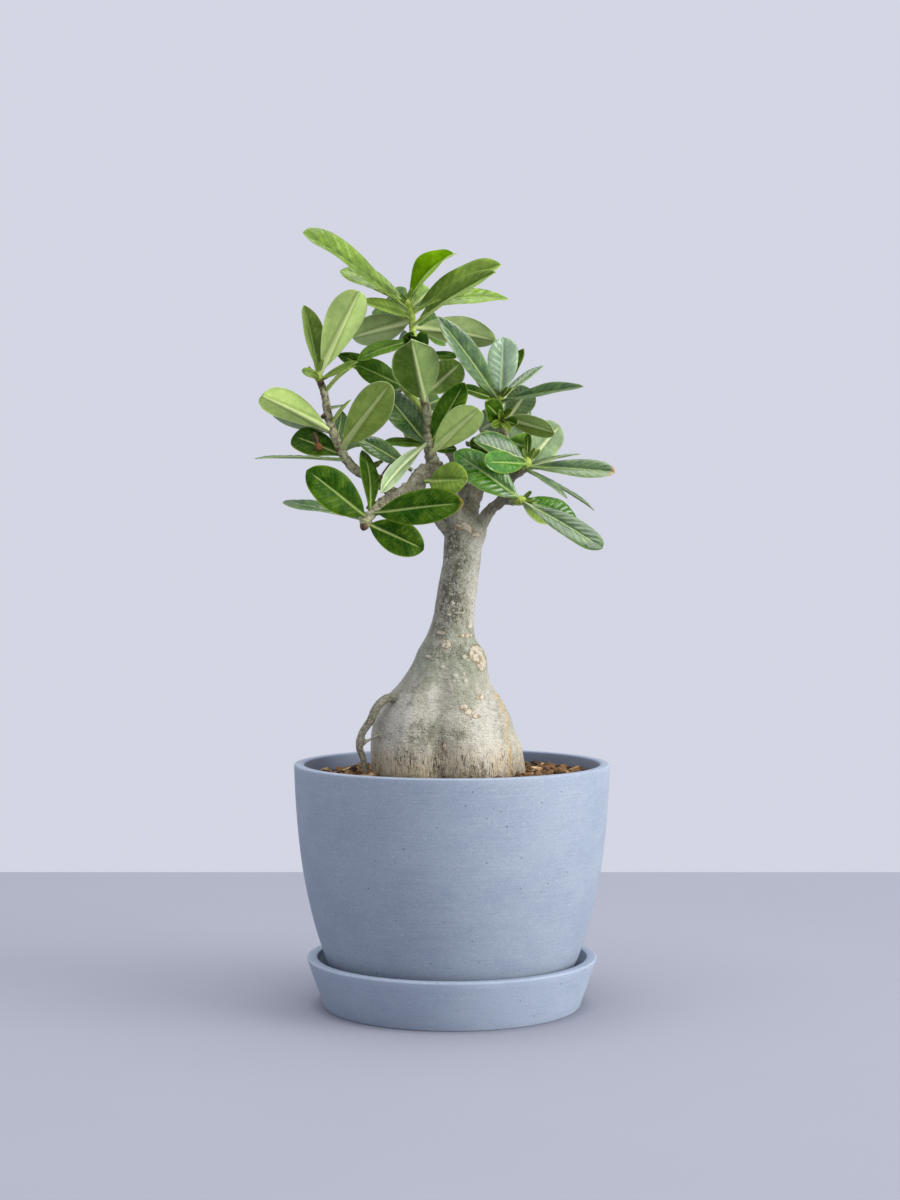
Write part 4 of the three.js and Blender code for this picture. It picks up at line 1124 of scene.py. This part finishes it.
def trunk_piece():
    rings = caudex_surface(caudex_rows())
    parts = [(np.concatenate(rings), skin_faces(len(rings), CAUDEX_SIDES))]
    for path in [AIR_ROOT, ROOTLET, *BARE_LIMBS]:
        parts.append(tube(path, 0, len(path) - 1, LIMB_SIDES, WOOD_STEP)[:2])
    for branch in BRANCHES:
        if branch["wood"] > 0:
            parts.append(tube(branch["path"], 0, branch["wood"] - 1, WOOD_SIDES, WOOD_STEP)[:2])
    points, faces, edges = joined_surface(parts)
    points = smoothed(points, edges, TRUNK_SMOOTHING)
    normals = skin_normals(points, faces)

    lumps = noise_at(points, 16) * 0.5 + noise_at(points * [1, 1, 0.5], 5, 7.0) * 0.22
    ragged = noise_at(points, 1.8, 3.0)
    limb = smoothstep(LIMBS_FROM, LIMBS_FROM + 6, points[:, 2])
    knobs = np.maximum(noise_at(points, 3.0, 11.0), 0) * 1.7 + ragged * 0.4 - 0.4
    scar = back_scar_weight(points, mark_weight(points, SCARS, ragged), ragged)
    lenticel = mark_weight(points, LENTICELS, ragged * 0.4)
    stripe = mark_weight(points, STRIPES, ragged)
    upright = noise_at(points * [1.6, 1.6, 0.35], 1.5, 29.0) * smoothstep(136, 120, points[:, 2])
    level = noise_at(points * [0.7, 0.7, 1.9], 1.6, 37.0) * smoothstep(120, 136, points[:, 2])
    relief = lumps * (1 - 0.5 * limb) + (upright + level) * 0.15 + limb * knobs
    relief = relief + scar * (0.4 + 0.5 * ragged) + lenticel * 0.7 - stripe * 0.5
    points = points + normals * relief[:, None]
    dark = mark_weight(points, DARK_MARKS_AND_GROOVE_SHADE, ragged * 2)
    pale = mark_weight(points, PALE_AND_LIT_MARKS, ragged * 1.5)
    root_line, _ = curve_at(AIR_ROOT, np.linspace(0.6, len(AIR_ROOT) - 1, 60))
    away = np.min(np.linalg.norm(points[:, None] - root_line[None], axis=2), axis=1)
    root = smoothstep(3.4, 2.4, away)
    piece = Piece()
    piece.add(points, faces, scars=np.c_[scar, stripe, dark], patches=np.c_[pale, lenticel, root],
              limb=limb[:, None])
    return piece.build("trunk_bark", [bark_material()])


def soil_height(x, y):
    height = SOIL_LEVEL + SOIL_TILT * x
    for middle_x, middle_y, rise, spread in SOIL_BANKS:
        height = height + rise * np.exp(-(np.hypot(x - middle_x, y - middle_y) / spread) ** 2 / 2)
    return height


def soil_edges(turns):
    """Where the soil's surface meets the swollen base, and where it meets the pot, for each direction."""
    row = caudex_rows()[int((SOIL_LEVEL - CAUDEX[0][0]) / CAUDEX_STEP)]
    share = groove_share(np.degrees(turns), SOIL_LEVEL)
    near = np.c_[row[1] + np.cos(turns) * (row[2] * share + 0.2), np.sin(turns) * (row[3] * share + 0.2)]
    rim = [POT_OUTLINE[-1], [POT_RIM_RADIUS, POT_TOP - EDGE_ROUNDING]]
    wall = np.interp(SOIL_LEVEL, [height for _, height in rim], [radius for radius, _ in rim])
    return near, np.c_[np.cos(turns), np.sin(turns)] * (wall - POT_WALL - SOIL_GAP)


def soil_bed_piece():
    turns = full_turn(SOIL_SIDES)
    around = np.c_[np.cos(turns), np.sin(turns), 0 * turns]
    near, far = soil_edges(turns)
    rings = [around * SOIL_CENTRE + [CAUDEX[0][1], 0, CAUDEX[0][0] - SOIL_GAP]]
    buried = [row for row in CAUDEX if row[0] < SOIL_LEVEL - 6]
    rings += caudex_surface([[z - SOIL_GAP, *rest] for z, *rest in buried], SOIL_ROOM, SOIL_SIDES)
    for ring in range(SOIL_RINGS + 1):
        flat = near + (far - near) * ring / SOIL_RINGS
        points = np.c_[flat, soil_height(flat[:, 0], flat[:, 1])]
        points[:, 2] += noise_at(points, 5) * 1.1 + noise_at(points, 2.2, 5.0) * 0.6 - SOIL_BED_DEPTH
        rings.append(points)
    for radius, height in POT_OUTLINE[::-1]:
        rings.append(around * (radius - POT_WALL - SOIL_GAP) + [0, 0, max(height, SOIL_FOOT)])
    rings.append(around * SOIL_CENTRE + [0, 0, SOIL_FOOT])
    piece = Piece()
    piece.add(np.concatenate(rings), skin_faces(len(rings), SOIL_SIDES), tint=SOIL_BED_TINT)
    return piece.build("soil_bed", [soil_material()])


def icosphere(subdivisions):
    """Points and faces of a ball of even triangles: 80 of them for 2 subdivisions."""
    ball = bmesh.new()
    bmesh.ops.create_icosphere(ball, subdivisions=subdivisions, radius=1)
    points = np.array([vertex.co for vertex in ball.verts])
    faces = [[vertex.index for vertex in face.verts] for face in ball.faces]
    ball.free()
    return points, faces


def soil_grains_piece():
    draw = random.Random(GRAIN_SEED)
    ball, faces = icosphere(2)
    piece = Piece()
    for _ in range(GRAIN_COUNT):
        turn = draw.uniform(0, 2 * math.pi)
        near, far = soil_edges(np.array([turn]))
        inner, outer = np.hypot(*near[0]), np.hypot(*far[0])
        size = draw.choice(GRAIN_SIZES)
        radius = math.sqrt(draw.uniform((inner + size * 0.4) ** 2, (outer - size * 1.1) ** 2))
        x, y = radius * math.cos(turn), radius * math.sin(turn)
        stretch = np.array([draw.uniform(*each) for each in GRAIN_STRETCHES]) * size
        if draw.random() < STICK_SHARE:
            stretch = np.array([draw.uniform(*each) for each in STICK_SIZES])
        spin = draw.uniform(0, math.pi)
        tilt = draw.uniform(-0.6, 0.6)
        lumpy = ball * (1 + 0.7 * noise_at(ball, 0.7, draw.uniform(0, 50)))[:, None] * stretch
        z = soil_height(x, y) + draw.uniform(-0.6, 0.2) * size - GRAIN_DEPTH
        placed = tipped(tipped(lumpy, 0, 2, tilt), 0, 1, spin) + [x, y, z]
        piece.add(placed, faces, tint=np.array(draw.choice(GRAIN_TINTS_AND_GAP_SHADES)) * draw.uniform(0.8, 1.2))
    return piece.build("soil_grains", [soil_material()], smooth=False)


def half_widths(share, blade, width, form):
    """Half the width of the stalk and the blade, for each row of vertices."""
    widen, narrow = LEAF_FORMS[form]
    widest = widen / (widen + narrow)
    outline = blade ** widen * np.maximum(1 - blade, 0) ** narrow
    outline = outline * OUTLINE_FULLNESS / (widest ** widen * (1 - widest) ** narrow)
    half = np.maximum(width / 2 * outline, PETIOLE_RADIUS * smoothstep(1.0, 0.9, share))
    return np.maximum(half, TIP_HALF_WIDTH)


def blade_relief(share, blade, across, width, index, puff_height):
    """How high the blade waves, swells between its side veins and ripples along its margin."""
    phase = 2 * math.pi * (share / WAVE_LENGTH + index * WAVE_SHIFT) + np.sign(across)
    wave = across * WAVE_HEIGHT * width * blade * np.sin(phase) * smoothstep(1.02, 0.86, blade)
    swell = np.sin(math.pi * vein_phase(blade, across)) ** 2 * np.sin(math.pi * np.abs(across)) ** 0.8
    swell = swell * smoothstep(0, 0.12, blade) * smoothstep(1.0, 0.85, blade) * min(1, width / 16)
    ripple = np.sin(2 * math.pi * (share * RIPPLES + index * RIPPLE_SHIFT)) * across ** 3
    return wave + puff_height * swell + RIPPLE_HEIGHT * width * ripple


def blade_faces(rows, columns):
    """Faces of an upper and an under sheet joined along the rim, and the side of each: 0 upper, 1 under."""
    count = rows * columns
    quads = grid_faces(rows, columns)
    faces = [face[::-1] for face in quads] + [[corner + count for corner in face] for face in quads]
    rim = [row * columns for row in range(rows)]
    rim += [(rows - 1) * columns + column for column in range(1, columns)]
    rim += [row * columns + columns - 1 for row in range(rows - 2, -1, -1)]
    rim += list(range(columns - 2, 0, -1))
    faces += [[here, there, there + count, here + count] for here, there in zip(rim, rim[1:] + rim[:1])]
    return faces, [0] * len(quads) + [1] * (len(quads) + len(rim))


def leaf(base, tip, width, turn, bend, fold, index, form, puff_height, own, small):
    """One leaf with a round stalk, closed all round: points, faces, face sides, places on it and ribs."""
    chord = tip - base
    length = np.linalg.norm(chord)
    along = unit(chord)
    front = unit(FRONT + along * along[1])
    angle = math.radians(turn)
    upper = front * math.cos(angle) + np.cross(along, front) * math.sin(angle)
    across_way = np.cross(along, upper)
    rise = length * math.radians(bend) / 8
    raised = math.radians(fold) / 2

    rows = SMALL_LEAF_ROWS if small else LEAF_ROWS
    half_across = SMALL_LEAF_ACROSS if small else LEAF_ACROSS
    share = (1 - (1 - np.linspace(0, 1, rows)) ** ROW_BUNCHING)[:, None]
    across = np.array([-each for each in half_across[:0:-1]] + half_across)[None, :]
    shape = (rows, across.shape[1])
    blade = np.clip((share - PETIOLE_SHARE) / (1 - PETIOLE_SHARE), 0, 1)
    half = half_widths(share, blade, width, form)
    flat = smoothstep(*STALK_TO_BLADE, share)

    soft = np.sqrt(across ** 2 + 0.01) - 0.1
    uneven = 1 + HALF_DIFFERENCE * math.sin(index * 2.3 + turn) * np.sign(across)
    roll = MARGIN_ROLL * 2 * half * np.abs(across) ** 7
    relief = blade_relief(share, blade, across, width, index, puff_height) - roll
    lift = half * soft * math.sin(raised) * uneven + relief * flat

    slope = 4 * rise * (1 - 2 * share) / length
    normal = unit(upper - along * slope[..., None])
    middle = base + chord * share[..., None] + upper * (4 * rise * share * (1 - share))[..., None]
    sheet = middle + across_way * (across * half * math.cos(raised))[..., None] + normal * lift[..., None]

    over = unit(np.cross(np.gradient(sheet, axis=0), np.gradient(sheet, axis=1)))
    over *= np.sign(np.sum(over * normal, axis=-1, keepdims=True) + 1e-9)
    distance = np.abs(across * half)
    rib_width = MIDRIB_HALF_WIDTH * (1.15 - 0.8 * share) * min(1, 0.35 + width / 24)
    rib_mark = np.exp(-(distance / rib_width) ** 2) * smoothstep(1.0, 0.85, share)
    rib = rib_mark * flat * smoothstep(1.0, 0.7, share)
    margin_mark = np.exp(-((half - distance) / MARGIN_WIDTH) ** 2) * flat
    hollow_shade_mark = np.exp(-((distance / rib_width - HOLLOW_SHADE_PLACE) / HOLLOW_SHADE_WIDTH) ** 2) * flat
    thin = BLADE_HALF_THICKNESS * (1 - 0.55 * across ** 4)
    round_half = PETIOLE_RADIUS * np.sqrt(np.maximum(1 - across ** 2, 0)) + 0.02
    thickness = thin * flat + round_half * (1 - flat)
    top = sheet + over * (thickness - MIDRIB_GROOVE * rib)[..., None]
    under = sheet - over * (thickness + MIDRIB_RISE * rib * (1.1 - share))[..., None]

    points = np.concatenate([top.reshape(-1, 3), under.reshape(-1, 3)])
    place = np.stack([blade + 0 * across, across + 0 * blade, np.full(shape, own)], -1)
    ribs = np.stack([rib_mark, margin_mark, hollow_shade_mark], -1)
    return points, *blade_faces(*shape), *[np.tile(each.reshape(-1, 3), (2, 1)) for each in (place, ribs)]


def add_leaf(piece, base, tip, shape, index, look_and_form, draw, small=False, **values):
    """Adds a leaf whose shape is its width, turn, bend and fold."""
    look, form = look_and_form.split("-")
    base, tip = np.array(base, float), np.array(tip, float)
    points, faces, sides, place, ribs = leaf(base, tip, *shape, index, form, LEAF_LOOKS[look][5],
                                             draw.random(), small)
    first = 2 * LOOK_NAMES.index(look)
    piece.add(points, faces, [first + side for side in sides], blade=place, ribs=ribs, **values)


def add_apex(piece, path, draw):
    """Tiny young leaves round the growing point of a stem."""
    ends, directions = curve_at(path, len(path) - 1)
    along = directions[0]
    beside = unit(np.cross(along, FRONT))
    for index, (length, width, lean) in enumerate(APEX_LEAVES):
        angle = math.radians(lean)
        depth = draw.uniform(-0.35, 0.1)
        tip = ends[0] + length * (along * math.cos(angle) + beside * math.sin(angle) - FRONT * depth)
        shape = [width, draw.uniform(-40, 40), 20, 40]
        add_leaf(piece, ends[0] - along * 0.8, tip, shape, index, "young-long", draw, small=True)


def leafy_stem(branch, draw):
    """A young stem with its leaves, as one object."""
    piece = Piece()
    name, path, wood = branch["name"], branch["path"], branch["wood"]
    last = len(path) - 1

    def stem_radius(places):
        swelling = APEX_SWELLING * smoothstep(last - 1.3, last - 0.2, places)
        scars = STEM_SCAR_DEPTH * np.sin(places * 17.0) * np.sin(places * 6.1 + 1)
        return radius_at(path, places) * (1 + scars + swelling)

    start = wood - STEM_OVERLAP if wood > 0 else 0
    points, faces, spots = tube(path, start, last, STEM_SIDES, STEM_STEP, stem_radius, STEM_ROUGHNESS)
    young = smoothstep(last - STEM_GREEN, last, spots) * (BARE_TIP_GREEN if name in BARE_TIPS else 1)
    if wood == 0:
        young = np.ones_like(spots)
    piece.add(points, faces, STEM_SLOT, age=young[:, None])
    looks = branch["looks"].split()
    for index, (place, x, y, z, *shape) in enumerate(branch["leaves"]):
        stem = curve_at(path, place)[0][0]
        sink = min(PETIOLE_SINK, PETIOLE_SINK_SHARE * radius_at(path, place))
        base = stem - unit(np.array([x, y, z]) - stem) * sink
        add_leaf(piece, base, [x, y, z], shape, index, looks[index], draw,
                 age=branch.get("withered", {}).get(index, 0), halves=branch.get("halves", {}).get(index, 0))
    if name not in STEMS_THAT_GO_ON + BARE_TIPS:
        add_apex(piece, path, draw)
    return piece


def small_leaves_piece(materials):
    draw = random.Random(BUD_SEED)
    piece = Piece()
    for index, (base, tip, *shape, look_and_form) in enumerate(SMALL_LEAVES):
        add_leaf(piece, base, tip, shape, index, look_and_form, draw, small=True)
    return piece.build("small_leaves", materials)


def buds_piece():
    piece = Piece()
    ball, faces = icosphere(3)
    for middle, half_width, half_height, lean, tint in BUDS:
        rough = ball * (1 + 0.22 * noise_at(ball, 0.45, half_width * 9))[:, None]
        bud = tipped(rough * [half_width, half_width, half_height], 0, 2, math.radians(lean))
        piece.add(bud + middle, faces, tint=BUD_TINTS[tint])
    points, stalk_faces, _ = tube(DRY_STALK, 0, len(DRY_STALK) - 1, 10, 0.5)
    piece.add(points, stalk_faces, tint=BUD_TINTS["brown"])
    return piece.build("dry_buds", [bud_material()])


def soft_light(name, place, target, size, power, colour):
    light = bpy.data.lights.new(name, "AREA")
    light.shape = "DISK"
    light.size = size
    light.energy = power
    light.color = colour
    holder = bpy.data.objects.new(name, light)
    holder.location = place
    holder.rotation_euler = (Vector(target) - Vector(place)).to_track_quat("-Z", "Y").to_euler()
    bpy.context.scene.collection.objects.link(holder)


def stage():
    table = Piece()
    table.add([[x / MM, y / MM, 0] for x, y in TABLE_CORNERS], [[0, 1, 2, 3]])
    table.build("table", [floor_material()])
    world = bpy.data.worlds.new("room")
    world.use_nodes = True
    world.node_tree.nodes["Background"].inputs["Color"].default_value = (*WORLD_COLOUR, 1)
    world.node_tree.nodes["Background"].inputs["Strength"].default_value = WORLD_STRENGTH
    bpy.context.scene.world = world
    bpy.context.scene.view_settings.view_transform = "Standard"
    for light in LIGHTS:
        soft_light(*light)


def camera():
    view = bpy.data.cameras.new("camera")
    view.lens = CAMERA_LENS
    view.sensor_width = CAMERA_SENSOR
    view.clip_end = CAMERA_REACH
    holder = bpy.data.objects.new("camera", view)
    holder.location = CAMERA_PLACE
    holder.rotation_euler = (math.pi / 2 - CAMERA_PITCH, 0, 0)
    bpy.context.scene.collection.objects.link(holder)
    bpy.context.scene.camera = holder


def hand_in(piece, slot, *nodes):
    """Puts a finished piece on the body and in the place of the solids that it stands for."""
    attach(piece, BODY)
    if nodes:
        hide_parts(*nodes)


hand_in(saucer_piece(), "saucer", "saucer")
hand_in(pot_piece(), "pot", "pot")
hand_in(soil_bed_piece(), "soil", "soil")
hand_in(soil_grains_piece(), "soil")
hand_in(trunk_piece(), "bark", "trunk")

leaf_materials = []
for look in LOOK_NAMES:
    leaf_materials += [leaf_upper_material(look), leaf_under_material(look)]
leaf_materials.append(stem_material())
leaf_draw = random.Random(LEAF_SEED)
for branch in BRANCHES:
    stem = leafy_stem(branch, leaf_draw)
    hand_in(stem.build(branch["name"] + "_leaves", leaf_materials), branch["slot"], branch["name"])
for index, (name, slot, look_and_form, base, (x, y, z, *shape)) in enumerate(SINGLE_LEAVES):
    piece = Piece()
    add_leaf(piece, base, [x, y, z], shape, index, look_and_form, leaf_draw)
    hand_in(piece.build(name + "_blade", leaf_materials), slot, name)
hand_in(small_leaves_piece(leaf_materials), "leaf_young")
hand_in(buds_piece(), "bark")

stage()
camera()
